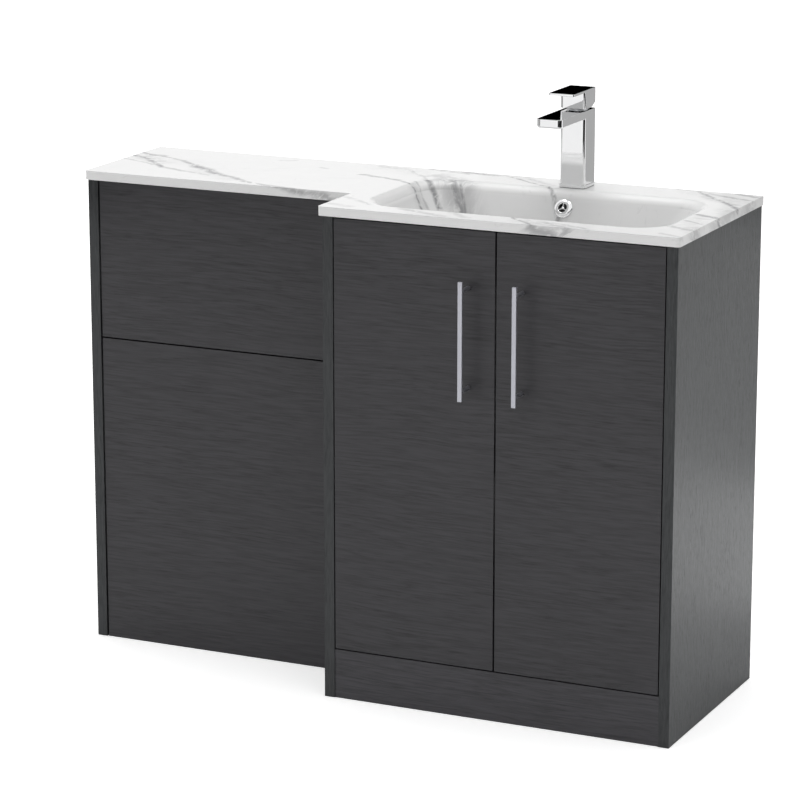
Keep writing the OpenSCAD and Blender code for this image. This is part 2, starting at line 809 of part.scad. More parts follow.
// Insert with two rings of holes: [distance from its axis, how many]
aerator_hole_r = 1;
aerator_rings = [[7, 12], [3.5, 6]];
module tap_aerator() color(satin) {
    translate([basin_x, from_wall(aerator_back), column_top - spout_t + 2 * fit]) difference() {
        cylinder(r = aerator_r, h = aerator_h - 5 * fit);
        for (g = aerator_rings, i = [1 : g[1]]) rotate([0, 0, i * 360 / g[1]])
            translate([g[0], 0, -cut]) cylinder(r = aerator_hole_r, h = aerator_h + cut);
    }
}

module tap_cartridge() color(white_plastic) {
    port_h = 5;
    at_tap(cavity_z) difference() {
        cylinder(r = cartridge_r, h = cavity_h - nut_h + nut_rise);
        translate([0, 0, stem_seat]) cylinder(r = stem_r + slip, h = cavity_h);
        for (s = [-1, 1]) translate([s * inlet_x, 0, -cut]) cylinder(r = waterway_r, h = port_h);
    }
}

module tap_cartridge_nut() color(zinc) {
    chamfer = 1;
    at_tap(column_top + nut_rise - nut_h) difference() {
        union() {
            cylinder(r = cartridge_r, h = nut_h - chamfer);
            cylinder(r1 = cartridge_r, r2 = cartridge_r - chamfer, h = nut_h);
        }
        translate([0, 0, -cut]) cylinder(r = stem_r + 3, h = nut_h + 2 * cut);
    }
}

// Upright stem that turns in the cartridge and carries the lever's pin
module tap_stem() color(zinc) {
    stem_z = cavity_z + stem_seat + seat;
    at_tap(stem_z) difference() {
        cylinder(r = stem_r, h = pivot_z + stem_r - stem_z);
        translate([-stem_r - cut, 0, pivot_z - stem_z])
            rod_x(lever_pin_r + slip, 2 * stem_r + 2 * cut);
    }
}

module tap_lever() color(chrome) {
    plate_z = lever_h - lever_t;
    half = tap_w / 2;
    at_tap(lever_z) difference() {
        union() {
            square_post(tap_w, plate_z + lever_t / 2, lever_edge_r);
            translate([0, half - lever_l / 2, plate_z])
                linear_extrude(lever_t) round_rect(tap_w, lever_l, lever_edge_r);
        }
        translate([0, 0, -cut]) cylinder(r = lever_recess_r, h = lever_recess_h + cut);
        translate([-half - cut, 0, pivot_z - lever_z]) rod_x(lever_pin_r, tap_w + 2 * cut);
        translate([-half - cut, 0, 0]) rotate([90, 0, 90]) linear_extrude(tap_w + 2 * cut)
            polygon([[half - lever_chamfer_d, -cut], [half - lever_chamfer_d, 0],
                [half + cut, lever_chamfer_h * (1 + cut / lever_chamfer_d)], [half + cut, -cut]]);
    }
}

module tap_lever_pin() color(zinc) {
    pin_l = tap_w - 1;
    at_tap(pivot_z) translate([-pin_l / 2, 0, 0]) rod_x(lever_pin_r, pin_l);
}

shank_wall = 3;
tap_washer_t = 3;
tap_washer_w = 6;
tap_nut_h = 10;
tap_nut_w = 5;
module tap_shank() color(zinc) {
    at_tap(foot_z + socket_h - seat - shank_l) ring(shank_r, shank_r - shank_wall, shank_l);
}

module tap_washer() color(rubber) {
    at_tap(cab_h - tap_washer_t) ring(shank_r + tap_washer_w, shank_r + fit, tap_washer_t);
}

module tap_backnut() color(zinc) {
    at_tap(cab_h - tap_washer_t - tap_nut_h) hex_nut(2 * (shank_r + tap_nut_w), shank_r + slip, tap_nut_h);
}

// ---- Toilet cabinet ----

module wc_left_side() color(charcoal) {
    difference() {
        board(wc_x, 0, board_t, cab_h, wc_d, 0);
        side_holes(wc_cams, wc_in_x);
    }
}

module wc_right_side() color(charcoal) {
    difference() {
        board(van_x - board_t, 0, board_t, cab_h, wc_d, 0);
        side_holes(wc_cams, wc_in_x + wc_in_w);
        join_holes();
    }
}

screw_r = 2;
screw_in = 12;
screw_l = board_t + screw_in;
panel_screw_z = [wc_rail_h * 0.75, split_z - wc_rail_h * 0.35];

// Holes for the screws that hold the lower panel from behind
module panel_screw_holes() {
    for (x = clip_x, z = panel_screw_z)
        translate([x, from_wall(panel_rear) - screw_in - fit, z])
            rod_y(screw_r + slip, screw_l + fit + cut);
}

module wc_panel(z, h) {
    board(wc_in_x + panel_gap, z, wc_in_w - 2 * panel_gap, h, panel_front, panel_rear);
}

module wc_lower_panel() color(charcoal) {
    difference() {
        wc_panel(0, lower_panel_h);
        panel_screw_holes();
    }
}

stud_base_r = 3;
stud_base_l = 8;
stud_neck_r = 2;
module wc_access_panel() color(charcoal) {
    difference() {
        wc_panel(upper_panel_z, upper_panel_h);
        for (x = clip_x, z = clip_z) translate([x, from_wall(panel_rear) - stud_base_l - fit, z])
            rod_y(stud_base_r + slip, stud_base_l + fit + cut);
    }
}

// A rail behind the toilet cabinet's front, with the holes of what it carries
module wc_rail(z) {
    difference() {
        board(wc_in_x, z, wc_in_w, wc_rail_h, panel_rear, panel_rear - board_t);
        board_holes(wc_cams);
        panel_screw_holes();
        for (x = clip_x, cz = clip_z) translate([x, from_wall(panel_rear) - cut, cz])
            rod_y(clip_r + slip, board_t + 2 * cut);
    }
}

module wc_top_rail() color(carcass_grey) {
    wc_rail(cab_h - wc_rail_h);
}

module wc_mid_rail() color(carcass_grey) {
    wc_rail(split_z - wc_rail_h / 2);
}

module wc_foot_rail() color(carcass_grey) {
    wc_rail(0);
}

// A rail along the wall, with cam and wall screw holes
module back_rail(x, z, w, cams) {
    difference() {
        board(x, z, w, back_rail_h, board_t, 0);
        board_holes(cams);
        wall_holes(x, w, z + back_rail_h / 2);
    }
}

module wc_upper_back_rail() color(carcass_grey) {
    back_rail(wc_in_x, cab_h - back_rail_h, wc_in_w, wc_cams);
}

module wc_lower_back_rail() color(carcass_grey) {
    back_rail(wc_in_x, 0, wc_in_w, wc_cams);
}

// Ball studs pressed into the access panel's back
module panel_clip_studs() color(white_plastic) {
    for (x = clip_x, z = clip_z) translate([x, from_wall(panel_rear), z]) rotate([-90, 0, 0]) {
        translate([0, 0, -stud_base_l]) cylinder(r = stud_base_r, h = stud_base_l);
        cylinder(r = stud_neck_r, h = ball_reach);
        translate([0, 0, ball_reach]) sphere(ball_r);
    }
}

module panel_clip_sockets() color(white_plastic) {
    for (x = clip_x, z = clip_z) translate([x, from_wall(panel_rear), z]) rotate([-90, 0, 0])
        translate([0, 0, seat]) ring(clip_r, ball_r + seat, board_t - seat);
}

module panel_screws() color(zinc) {
    for (x = clip_x, z = panel_screw_z)
        translate([x, from_wall(panel_rear) - screw_in, z]) {
            rod_y(screw_r, screw_l);
            translate([0, screw_l, 0]) rod_y(2 * screw_r, screw_r);
        }
}

// ---- Basin cabinet ----

shelf_set = 12;
shelf_front = carcass_front - shelf_set;
shelf_rear = 60;
shelf_pin_end = 40;
shelf_pin_back = [shelf_rear + shelf_pin_end, shelf_front - shelf_pin_end];
shelf_pitch = 64;
shelf_pin_l = 16;
shelf_pin_in = 9;

module vanity_side(x, inner_x, inward) {
    difference() {
        board(x, 0, board_t, cab_h, van_d, 0);
        side_holes(van_cams, inner_x);
        for (d = shelf_pin_back, k = [-1 : 1])
            translate([inner_x, from_wall(d), shelf_z - shelf_pin_r + shelf_pitch * k])
                mirror([inward > 0 ? 1 : 0, 0, 0]) translate([-cut, 0, 0])
                    rod_x(shelf_pin_r + slip, shelf_pin_in + fit + cut);
        for (z = hinge_z, s = [-1, 1])
            translate([inner_x, from_wall(plate_back), z + s * plate_screw_z])
                mirror([inward > 0 ? 1 : 0, 0, 0]) translate([-cut, 0, 0])
                    rod_x(peg_r + slip, peg_in + fit + cut);
    }
}

module vanity_left_side() color(charcoal) {
    difference() {
        vanity_side(van_x, van_in_x, 1);
        join_holes();
    }
}

module vanity_right_side() color(charcoal) {
    vanity_side(van_in_x + van_in_w, van_in_x + van_in_w, -1);
}

module vanity_base() color(carcass_grey) {
    difference() {
        board(van_in_x, base_z, van_in_w, board_t, carcass_front, 0);
        board_holes(van_cams);
    }
}

module vanity_plinth() color(charcoal) {
    difference() {
        board(van_in_x, 0, van_in_w, plinth_h, van_d - panel_recess, van_d - panel_recess - board_t);
        board_holes(van_cams);
    }
}

module vanity_front_rail() color(carcass_grey) {
    difference() {
        board(van_in_x, cab_h - front_rail_h, van_in_w, front_rail_h, carcass_front,
            carcass_front - board_t);
        board_holes(van_cams);
    }
}

module vanity_upper_back_rail() color(carcass_grey) {
    back_rail(van_in_x, cab_h - back_rail_h, van_in_w, van_cams);
}

module vanity_lower_back_rail() color(carcass_grey) {
    back_rail(van_in_x, base_z + board_t, van_in_w, van_cams);
}

module vanity_shelf() color(carcass_grey) {
    board(van_in_x + shelf_gap, shelf_z, van_in_w - 2 * shelf_gap, board_t, shelf_front, shelf_rear);
}

module shelf_pins() color(zinc) {
    for (d = shelf_pin_back, e = [[van_in_x, 1], [van_in_x + van_in_w, -1]])
        translate([e[0], from_wall(d), shelf_z - shelf_pin_r]) mirror([e[1] < 0 ? 1 : 0, 0, 0])
            translate([-shelf_pin_in, 0, 0]) rod_x(shelf_pin_r, shelf_pin_l);
}

// ---- Doors, hinges and handles ----

// The same thing on the left door (0) or mirrored onto the right door (1),
// with X from the door's hinged edge towards its free edge
module on_door(side) {
    translate([door_x[side] + (side == 1 ? door_w : 0), from_wall(van_d), 0])
        mirror([side, 0, 0]) children();
}

handle_in = door_w + centre_gap / 2 - handle_offset;
handle_post_z = [handle_z - handle_pitch / 2, handle_z + handle_pitch / 2];

cup_screw_in = 9.5;
cup_screw_z = 24;
cup_screw_r = 2;
cup_screw_l = 8;
cup_flange_t = 1.2;
cup_flange_w = 12;
cup_flange_h = 60;
cup_lip = 2;
cup_wall = 1;

module door(side) {
    on_door(side) difference() {
        translate([0, 0, door_z]) cube([door_w, board_t, door_h]);
        for (z = hinge_z) translate([cup_in, board_t, z]) {
            translate([0, -cup_depth - fit, 0]) rod_y(cup_r + fit, cup_depth + cut);
            for (s = [-1, 1]) translate([cup_screw_in, -cup_screw_l, s * cup_screw_z])
                rod_y(cup_screw_r + slip, cup_screw_l + cut);
        }
        for (z = handle_post_z) translate([handle_in, -cut, z])
            rod_y(handle_screw_d / 2 + fit, board_t + 2 * cut);
    }
}

module left_door() color(charcoal) door(0);

module right_door() color(charcoal) door(1);

// Cup with its flange and the two screws' shanks
module hinge_cups(side) {
    on_door(side) for (z = hinge_z) translate([cup_in, board_t, z]) {
        difference() {
            union() {
                translate([0, -cup_depth, 0]) rod_y(cup_r, cup_depth);
                rod_y(cup_r + cup_lip, cup_flange_t);
                translate([cup_screw_in - cup_flange_w / 2, 0, -cup_flange_h / 2])
                    cube([cup_flange_w, cup_flange_t, cup_flange_h]);
            }
            translate([0, cup_wall - cup_depth, 0]) rod_y(cup_r - cup_wall, cup_depth + cup_flange_t);
        }
        for (s = [-1, 1]) translate([cup_screw_in, fit - cup_screw_l, s * cup_screw_z])
            rod_y(cup_screw_r, cup_screw_l + cup_flange_t);
    }
}

module left_hinge_cups() color(zinc) hinge_cups(0);

module right_hinge_cups() color(zinc) hinge_cups(1);

plate_t = 8;
plate_l = 50;
plate_h = 14;
plate_set = 36;
plate_back = carcass_front - plate_set;
plate_screw_z = 16;
wing_t = 3;
wing_w = 14;
wing_end = 6;
peg_r = 2.5;
peg_in = 10;
arm_w = 12;
arm_h = 13;
arm_wall = 1.5;
arm_front = board_t + 9;
arm_rear = van_d - plate_back + plate_l / 2;
arm_end = 8;
crank_t = 8;
nose_x = 25;
nose_w = 10;
nose_y = 13;
hinge_pin_r = 1.5;
hinge_pin_proud = 0.5;
hinge_pin_y = [nose_y + 2 * hinge_pin_r, arm_front + crank_t / 2];

// Cranked arm from the side panel's plate to the mouth of the cup
module hinge_arm() {
    arm_x = plate_t - door_gap;
    difference() {
        union() {
            translate([arm_x, arm_front, -arm_h / 2]) cube([arm_w, arm_rear - arm_front, arm_h]);
            translate([nose_x - nose_w / 2, nose_y, -arm_h / 2])
                cube([nose_w, arm_front + crank_t - nose_y, arm_h]);
            translate([arm_x, arm_front, -arm_h / 2])
                cube([nose_x + nose_w / 2 - arm_x, crank_t, arm_h]);
        }
        for (y = hinge_pin_y) translate([nose_x, y, -arm_h / 2 - cut])
            cylinder(r = hinge_pin_r + slip, h = arm_h + 2 * cut);
        translate([arm_x + arm_wall, arm_front + crank_t + arm_wall, -arm_h / 2 + arm_wall])
            cube([arm_w, arm_rear - arm_front - crank_t - arm_wall - arm_end, arm_h - 2 * arm_wall]);
    }
}

// Something repeated at every hinge, with Z at the hinge's middle
module at_hinges() {
    for (side = [0, 1], z = hinge_z) on_door(side) translate([0, 0, z]) children();
}

module hinge_arms() color(zinc) at_hinges() hinge_arm();

module hinge_pins() color(satin) at_hinges()
    for (y = hinge_pin_y) translate([nose_x, y, -arm_h / 2 - hinge_pin_proud])
        cylinder(r = hinge_pin_r, h = arm_h + 2 * hinge_pin_proud);

// Mounting plate with its wing and the two pegs that go into the side panel
module hinge_plates() color(zinc) at_hinges()
    translate([-door_gap, van_d - plate_back, 0]) {
        translate([0, -plate_l / 2, -plate_h / 2]) cube([plate_t, plate_l, plate_h]);
        translate([0, -wing_w / 2, -plate_screw_z - wing_end])
            cube([wing_t, wing_w, 2 * (plate_screw_z + wing_end)]);
        for (s = [-1, 1]) translate([-peg_in, 0, s * plate_screw_z]) rod_x(peg_r, peg_in + wing_t / 2);
    }

// Bar with its two posts, tapped from the back
module handle_bar(side) {
    on_door(side) difference() {
        union() {
            translate([handle_in, -post_l - handle_t / 2, handle_z - handle_l / 2])
                linear_extrude(handle_l) round_rect(handle_w, handle_t, handle_edge_r);
            for (z = handle_post_z) translate([handle_in, -post_l - handle_t / 2, z])
                rod_y(post_d / 2, post_l + handle_t / 2);
        }
        for (z = handle_post_z) translate([handle_in, -handle_thread, z])
            rod_y(handle_screw_d / 2 + slip, handle_thread + cut);
    }
}

module left_handle_bar() color(satin) handle_bar(0);

module right_handle_bar() color(satin) handle_bar(1);

module handle_screws(side) {
    screw_l = handle_screw_in + board_t;
    on_door(side) for (z = handle_post_z) translate([handle_in, -handle_screw_in, z]) {
        rod_y(handle_screw_d / 2, screw_l);
        translate([0, screw_l, 0]) rod_y(handle_screw_d, handle_head_t);
    }
}

module left_handle_screws() color(zinc) handle_screws(0);

module right_handle_screws() color(zinc) handle_screws(1);

// Soft buffers that the closed doors rest on
module door_bumpers() color(rubber) {
    for (side = [0, 1], z = [base_z + board_t / 2, cab_h - front_rail_h / 2])
        on_door(side) translate([door_w - bumper_in, board_t + seat, z]) rod_y(bumper_r, bumper_t);
}

// ---- Fixings ----

module cam_discs() color(zinc) {
    for (c = concat(wc_cams, van_cams)) at_cam(c) difference() {
        cam_disc_form(c, cam_r, cam_h);
        translate([cam_reach - cam_r - cut, 0, 0]) rod_x(cam_slot_r, cam_r + cut);
    }
}

module cam_bolts() color(zinc) {
    for (c = concat(wc_cams, van_cams)) at_cam(c) {
        translate([-cam_bolt_in, 0, 0]) rod_x(cam_bolt_r, cam_bolt_in + cam_reach - cam_neck);
        translate([cam_reach - cam_neck, 0, 0]) rod_x(cam_head_r, cam_head_l);
    }
}

module unit_joining_sleeves() color(zinc) {
    for (p = join_places)
        translate([van_x - board_t - join_head_t, from_wall(p[0]), p[1]]) difference() {
            union() {
                rod_x(join_head_r, join_head_t);
                rod_x(join_r, join_sleeve_l);
            }
            translate([join_thread_in, 0, 0]) rod_x(join_screw_r + slip, join_sleeve_l);
        }
}

module unit_joining_screws() color(zinc) {
    for (p = join_places) translate([van_x + board_t + join_head_t, from_wall(p[0]), p[1]])
        mirror([1, 0, 0]) {
            rod_x(join_head_r, join_head_t);
            rod_x(join_screw_r, join_screw_l);
        }
}

worktop_basin();
overflow_cover();
waste_body();
waste_plug();
waste_seal();
waste_washer();
waste_backnut();
trap_inlet_nut();
trap_body();
trap_bottle();
trap_outlet_nut();
trap_outlet_pipe();
tap_body();
tap_gasket();
tap_aerator();
tap_cartridge();
tap_cartridge_nut();
tap_stem();
tap_lever();
tap_lever_pin();
tap_shank();
tap_washer();
tap_backnut();
wc_left_side();
wc_right_side();
wc_lower_panel();
wc_access_panel();
wc_top_rail();
wc_mid_rail();
wc_foot_rail();
wc_upper_back_rail();
wc_lower_back_rail();
panel_clip_studs();
panel_clip_sockets();
panel_screws();
vanity_left_side();
vanity_right_side();
vanity_base();
vanity_plinth();
vanity_front_rail();
vanity_upper_back_rail();
vanity_lower_back_rail();
vanity_shelf();
shelf_pins();
left_door();
right_door();
left_handle_bar();
right_handle_bar();
left_handle_screws();
right_handle_screws();
left_hinge_cups();
right_hinge_cups();
hinge_arms();
hinge_pins();
hinge_plates();
door_bumpers();
cam_discs();
cam_bolts();
unit_joining_sleeves();
unit_joining_screws();
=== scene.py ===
import math

import bmesh
import bpy
from mathutils import Matrix, Vector


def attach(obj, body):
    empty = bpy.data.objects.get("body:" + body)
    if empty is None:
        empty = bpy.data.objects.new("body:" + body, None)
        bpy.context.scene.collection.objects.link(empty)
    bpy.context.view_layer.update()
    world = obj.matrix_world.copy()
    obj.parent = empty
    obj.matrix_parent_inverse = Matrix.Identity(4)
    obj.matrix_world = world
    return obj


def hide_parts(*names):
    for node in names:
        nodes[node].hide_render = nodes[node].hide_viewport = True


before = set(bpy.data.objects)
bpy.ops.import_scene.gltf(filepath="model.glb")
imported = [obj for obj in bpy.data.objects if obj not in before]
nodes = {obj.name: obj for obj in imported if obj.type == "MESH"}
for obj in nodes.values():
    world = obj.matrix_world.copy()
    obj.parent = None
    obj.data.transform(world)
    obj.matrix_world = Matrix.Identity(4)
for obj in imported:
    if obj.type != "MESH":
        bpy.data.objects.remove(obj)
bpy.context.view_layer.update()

MM = 0.001


# ---- Camera ----

# The photograph's viewpoint, from a camera fitted to edges seen in it, in metres and radians
CAMERA_PLACE = (2.304221, -4.917236, 1.816283)
CAMERA_DIP = 0.2437373354
CAMERA_TURN = 0.4373705224
CAMERA_LENS = 153.178

camera_data = bpy.data.cameras.new("photo_camera")
camera_data.sensor_width = 36
camera_data.lens = CAMERA_LENS
camera_data.clip_end = 100
camera = bpy.data.objects.new("photo_camera", camera_data)
camera.location = CAMERA_PLACE
camera.rotation_euler = (math.pi / 2 - CAMERA_DIP, 0, CAMERA_TURN)
bpy.context.scene.collection.objects.link(camera)
bpy.context.scene.camera = camera
bpy.context.scene.view_settings.view_transform = "Standard"


# ---- Shader maths and pieces ----

class Wire:
    """A socket in a node tree. Python's operators on it add Math nodes."""

    def __init__(self, tree, socket):
        self.tree = tree
        self.socket = socket

    def node(self, kind, settings=None, sockets=None, output=0):
        """Any other node: its type, its settings, then the values or links of its sockets."""
        made = self.tree.nodes.new(kind)
        for name, value in (settings or {}).items():
            setattr(made, name, value)
        for name, value in (sockets or {}).items():
            if isinstance(value, Wire):
                self.tree.links.new(value.socket, made.inputs[name])
            else:
                made.inputs[name].default_value = value
        return Wire(self.tree, made.outputs[output])

    def math(self, operation, *values):
        """A Math node on these values."""
        return self.node("ShaderNodeMath", {"operation": operation}, dict(enumerate(values)))

    def __add__(self, other):
        return self.math("ADD", self, other)

    def __radd__(self, other):
        return self.math("ADD", other, self)

    def __sub__(self, other):
        return self.math("SUBTRACT", self, other)

    def __rsub__(self, other):
        return self.math("SUBTRACT", other, self)

    def __mul__(self, other):
        return self.math("MULTIPLY", self, other)

    def __rmul__(self, other):
        return self.math("MULTIPLY", other, self)

    def __abs__(self):
        return self.math("ABSOLUTE", self)

    def smaller(self, other):
        return self.math("MINIMUM", self, other)

    def larger(self, other):
        return self.math("MAXIMUM", self, other)

    def fade(self, low, high):
        """0 where this is at or under low, 1 where it is at or over high, and smooth between."""
        return self.node("ShaderNodeMapRange", {"interpolation_type": "SMOOTHSTEP"},
                         {"Value": self, "From Min": low, "From Max": high})

    def vector(self, operation, *values, output=0, **sockets):
        """A Vector Math node on these values, which need not include this one."""
        return self.node("ShaderNodeVectorMath", {"operation": operation},
                         {**dict(enumerate(values)), **sockets}, output)

    def axes(self):
        """This vector's X, Y and Z."""
        made = self.tree.nodes.new("ShaderNodeSeparateXYZ")
        self.tree.links.new(self.socket, made.inputs[0])
        return [Wire(self.tree, made.outputs[i]) for i in range(3)]

    def noise(self, scale, detail=3.0, roughness=0.5, distortion=0.0, stretch=(1, 1, 1),
              colours=False):
        """Noise at this place, squeezed along each axis by stretch: one number, or three as a colour."""
        place = self.vector("MULTIPLY", self, stretch)
        return self.node("ShaderNodeTexNoise", {"noise_dimensions": "3D"},
                         {"Vector": place, "Scale": scale, "Detail": detail,
                          "Roughness": roughness, "Distortion": distortion}, 1 if colours else 0)

    def tint(self, low, high):
        """A colour between two, by this number."""
        made = self.tree.nodes.new("ShaderNodeMix")
        made.data_type = "RGBA"
        made.clamp_factor = True
        self.tree.links.new(self.socket, made.inputs[0])
        for place, colour in ((6, low), (7, high)):
            made.inputs[place].default_value = (*colour, 1)
        return Wire(self.tree, made.outputs[2])

    def bump(self, strength, distance):
        """A relief with this number as its height."""
        return self.node("ShaderNodeBump", None,
                         {"Height": self, "Strength": strength, "Distance": distance})


def finish_of(name, constants, varying):
    """A material: the shader's constants, and a function that gives its varying sockets."""
    made = bpy.data.materials.new(name)
    made.use_nodes = True
    tree = made.node_tree
    shader = tree.nodes["Principled BSDF"]
    for socket, value in constants.items():
        shader.inputs[socket].default_value = value
    place = Wire(tree, tree.nodes.new("ShaderNodeTexCoord").outputs["Object"])
    for socket, wire in varying(place).items():
        tree.links.new(wire.socket, shader.inputs[socket])
    return made


def mesh_piece(name, mesh, material, body):
    """A piece of one material, which rides on the body if one is named."""
    piece = bpy.data.objects.new(name, mesh)
    bpy.context.scene.collection.objects.link(piece)
    mesh.materials.append(material)
    if body:
        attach(piece, body)
    return piece


def flat_piece(name, corners, material):
    """A single face through these corners, in metres."""
    mesh = bpy.data.meshes.new(name)
    mesh.from_pydata(corners, [], [tuple(range(len(corners)))])
    return mesh_piece(name, mesh, material, None)


def ray_kind(wire, *kinds):
    """1 for rays of these kinds, 0 for the rest."""
    paths = wire.tree.nodes.new("ShaderNodeLightPath")
    found = [Wire(wire.tree, paths.outputs["Is %s Ray" % kind]) for kind in kinds]
    total = found[0]
    for ray in found[1:]:
        total = total.larger(ray)
    return total


# ---- Floor and light ----

FLOOR_REACH, FLOOR_Z = 45, -0.0004  # metres; it lies just under the object
FLOOR_GLOW, FLOOR_GLOW_TO_CAMERA = 0.09, 0.35


def make_floor():
    """A pale floor that keeps the object's shadow and runs into the white background."""
    made = bpy.data.materials.new("pale_floor")
    made.use_nodes = True
    tree = made.node_tree
    tree.nodes.clear()
    out = tree.nodes.new("ShaderNodeOutputMaterial")
    start = Wire(tree, None)
    lighting = start.node("ShaderNodeBsdfDiffuse", None, {"Color": (0.84, 0.84, 0.84, 1)})
    white = start.node("ShaderNodeBsdfDiffuse", None, {"Color": (0.96, 0.96, 0.96, 1)})
    lift = FLOOR_GLOW + ray_kind(start, "Camera") * FLOOR_GLOW_TO_CAMERA
    glow = start.node("ShaderNodeEmission", None, {"Color": (1, 1, 1, 1), "Strength": lift})
    shown = start.node("ShaderNodeAddShader", None, {0: white, 1: glow})
    seen = ray_kind(start, "Camera", "Glossy", "Transmission")
    mixed = start.node("ShaderNodeMixShader", None, {0: seen, 1: lighting, 2: shown})
    tree.links.new(mixed.socket, out.inputs[0])
    corners = [(x * FLOOR_REACH, y * FLOOR_REACH, FLOOR_Z)
               for x, y in ((-1, -1), (1, -1), (1, 1), (-1, 1))]
    floor = flat_piece("floor", corners, made)


def make_world(soft_light):
    """Soft light from all round, which the camera and reflections see as plain white."""
    world = bpy.data.worlds.new("studio")
    bpy.context.scene.world = world
    world.use_nodes = True
    tree = world.node_tree
    tree.nodes.clear()
    out = tree.nodes.new("ShaderNodeOutputWorld")
    start = Wire(tree, None)
    lighting = start.node("ShaderNodeBackground", None, {"Color": (1, 1, 1, 1), "Strength": soft_light})
    white = start.node("ShaderNodeBackground", None, {"Color": (1, 1, 1, 1), "Strength": 1.0})
    seen = ray_kind(start, "Camera", "Glossy", "Transmission")
    mixed = start.node("ShaderNodeMixShader", None, {0: seen, 1: lighting, 2: white})
    tree.links.new(mixed.socket, out.inputs[0])


def add_sun(name, towards, strength, spread, in_mirrors):
    """A far lamp that shines towards a direction; spread is its width in degrees."""
    data = bpy.data.lights.new(name, "SUN")
    data.energy = strength
    data.angle = math.radians(spread)
    lamp = bpy.data.objects.new(name, data)
    lamp.rotation_mode = "QUATERNION"
    lamp.rotation_quaternion = Vector(towards).to_track_quat("-Z", "Y")
    lamp.visible_glossy = in_mirrors
    bpy.context.scene.collection.objects.link(lamp)


def mirror_card(name, corners, brightness):
    """A glowing studio card that shows only in reflections."""
    made = bpy.data.materials.new(name)
    made.use_nodes = True
    tree = made.node_tree
    tree.nodes.clear()
    out = tree.nodes.new("ShaderNodeOutputMaterial")
    glow = Wire(tree, None).node("ShaderNodeEmission", None,
                                 {"Color": (1, 1, 1, 1), "Strength": brightness})
    tree.links.new(glow.socket, out.inputs[0])
    card = flat_piece(name, corners, made)
    card.visible_camera = False
    card.visible_diffuse = False
    card.visible_transmission = False
    card.visible_volume_scatter = False
    card.visible_shadow = False


def upright_card(name, left, right, low, high, brightness):
    """left and right are the plan positions of its edges, low and high their ends, in metres."""
    mirror_card(name, [(*left, low), (*right, low), (*right, high), (*left, high)], brightness)


make_floor()
make_world(soft_light=0.34)
add_sun("overhead", (0.03, -0.06, -1), strength=1.92, spread=50, in_mirrors=True)
add_sun("front_left", (0.42, 0.85, -0.15), strength=0.30, spread=14, in_mirrors=False)
upright_card("card_behind_tap", (-0.25, 0.55), (0.35, 0.55), 0.985, 1.30, 0.0)
upright_card("card_behind_deck", (-0.10, 0.56), (0.45, 0.56), 0.86, 0.925, 0.80)
upright_card("card_right_rear", (0.36, 0.55), (0.75, 0.55), 0.70, 1.03, 0.45)
upright_card("card_right", (0.90, -0.67), (0.90, 0.23), 0.72, 1.05, 0.02)
upright_card("card_front", (0.48, -0.68), (0.90, -0.68), 0.72, 1.05, 0.02)
upright_card("card_front_high", (-0.90, -0.72), (0.24, -0.72), 1.00, 2.20, 0.50)
upright_card("card_tap_left_front", (-0.60, -0.62), (-0.16, -0.62), 0.72, 1.05, 0.36)
upright_card("card_tap_left", (-0.60, -0.62), (-0.60, -0.05), 0.72, 1.05, 0.36)
upright_card("card_right_low", (0.56, 0.56), (1.30, 0.56), 0.00, 0.24, 1.90)
upright_card("card_left", (-0.70, 0.20), (-0.70, 0.80), 0.60, 0.84, 0.40)


# ---- Finishes ----

def charcoal(name, squeeze, dark, light, roughness, contrast=1.0, sideways_painted_reflection=None, constants=None):
    """Matt charcoal foil with a fine woodgrain. squeeze packs the grain across its run, dark
    and light are its two tones, and the sideways tint is a painted bluish reflection on the broad faces
    that look left or right."""
    def grained(place, times, detail, blur=0.5):
        return place.noise(1.0, detail, blur, 0.0, [s * times for s in squeeze])

    def varying(place):
        sway = place.vector("SUBTRACT", place.noise(2.6, 2.0, 0.5, colours=True), (0.5, 0.5, 0.5))
        bent = place.vector("ADD", place, sway.vector("SCALE", sway, Scale=0.020))
        hair = grained(bent, 13, 2.0, 0.6)
        board = grained(bent, 0.5, 2.0)
        patch = grained(bent, 0.9, 2.0).fade(0.36, 0.60) * 0.4 + 0.6
        lines = grained(bent, 5.6, 1.0).fade(0.34, 0.66) - 0.5
        dash = grained(bent, 11.0, 2.0, 0.6).fade(0.52, 0.64) * patch
        pore = (1 - (abs(grained(bent, 2.6, 1.0, 0.4) - 0.5) * 9).smaller(1.0)) * patch
        tone = (0.52 + hair * 0.34 + board * 0.07
                + (lines * 0.20 - dash * 0.18 - pore * 0.25) * contrast)
        relief = hair * 0.5 + lines * 0.6 - dash * 0.5 - pore * 0.6
        colour = tone.larger(0.0).smaller(1.0).tint(dark, light)
        # Painted reflection: faces that look left or right get a bluish tint.
        if sideways_painted_reflection is not None:
            sideways = abs(place.node("ShaderNodeNewGeometry", None, None, 1).axes()[0])
            colour = colour.vector("MULTIPLY", colour, sideways.tint((1, 1, 1), sideways_painted_reflection))
        return {"Base Color": colour,
                "Roughness": roughness + hair * 0.10 * contrast + dash * 0.06 * contrast,
                "Normal": relief.bump(0.30, 0.0003)}
    return finish_of(name, constants or {}, varying)


ACROSS = (3.0, 60, 60)  # the squeeze of a grain that runs along X
UPRIGHT = (75, 75, 7)  # and of one that runs along Z


def carcass_board():
    """Plain dark foil on the boards behind the fronts."""
    def varying(place):
        speck = place.noise(420.0, 2.0, 0.5)
        cloud = place.noise(4.0, 2.0, 0.5)
        colour = (speck * 0.5 + cloud * 0.5).tint((0.030, 0.030, 0.032), (0.044, 0.044, 0.046))
        return {"Base Color": colour, "Roughness": 0.48 + speck * 0.12,
                "Normal": speck.bump(0.12, 0.0002)}
    return finish_of("carcass_foil", {}, varying)


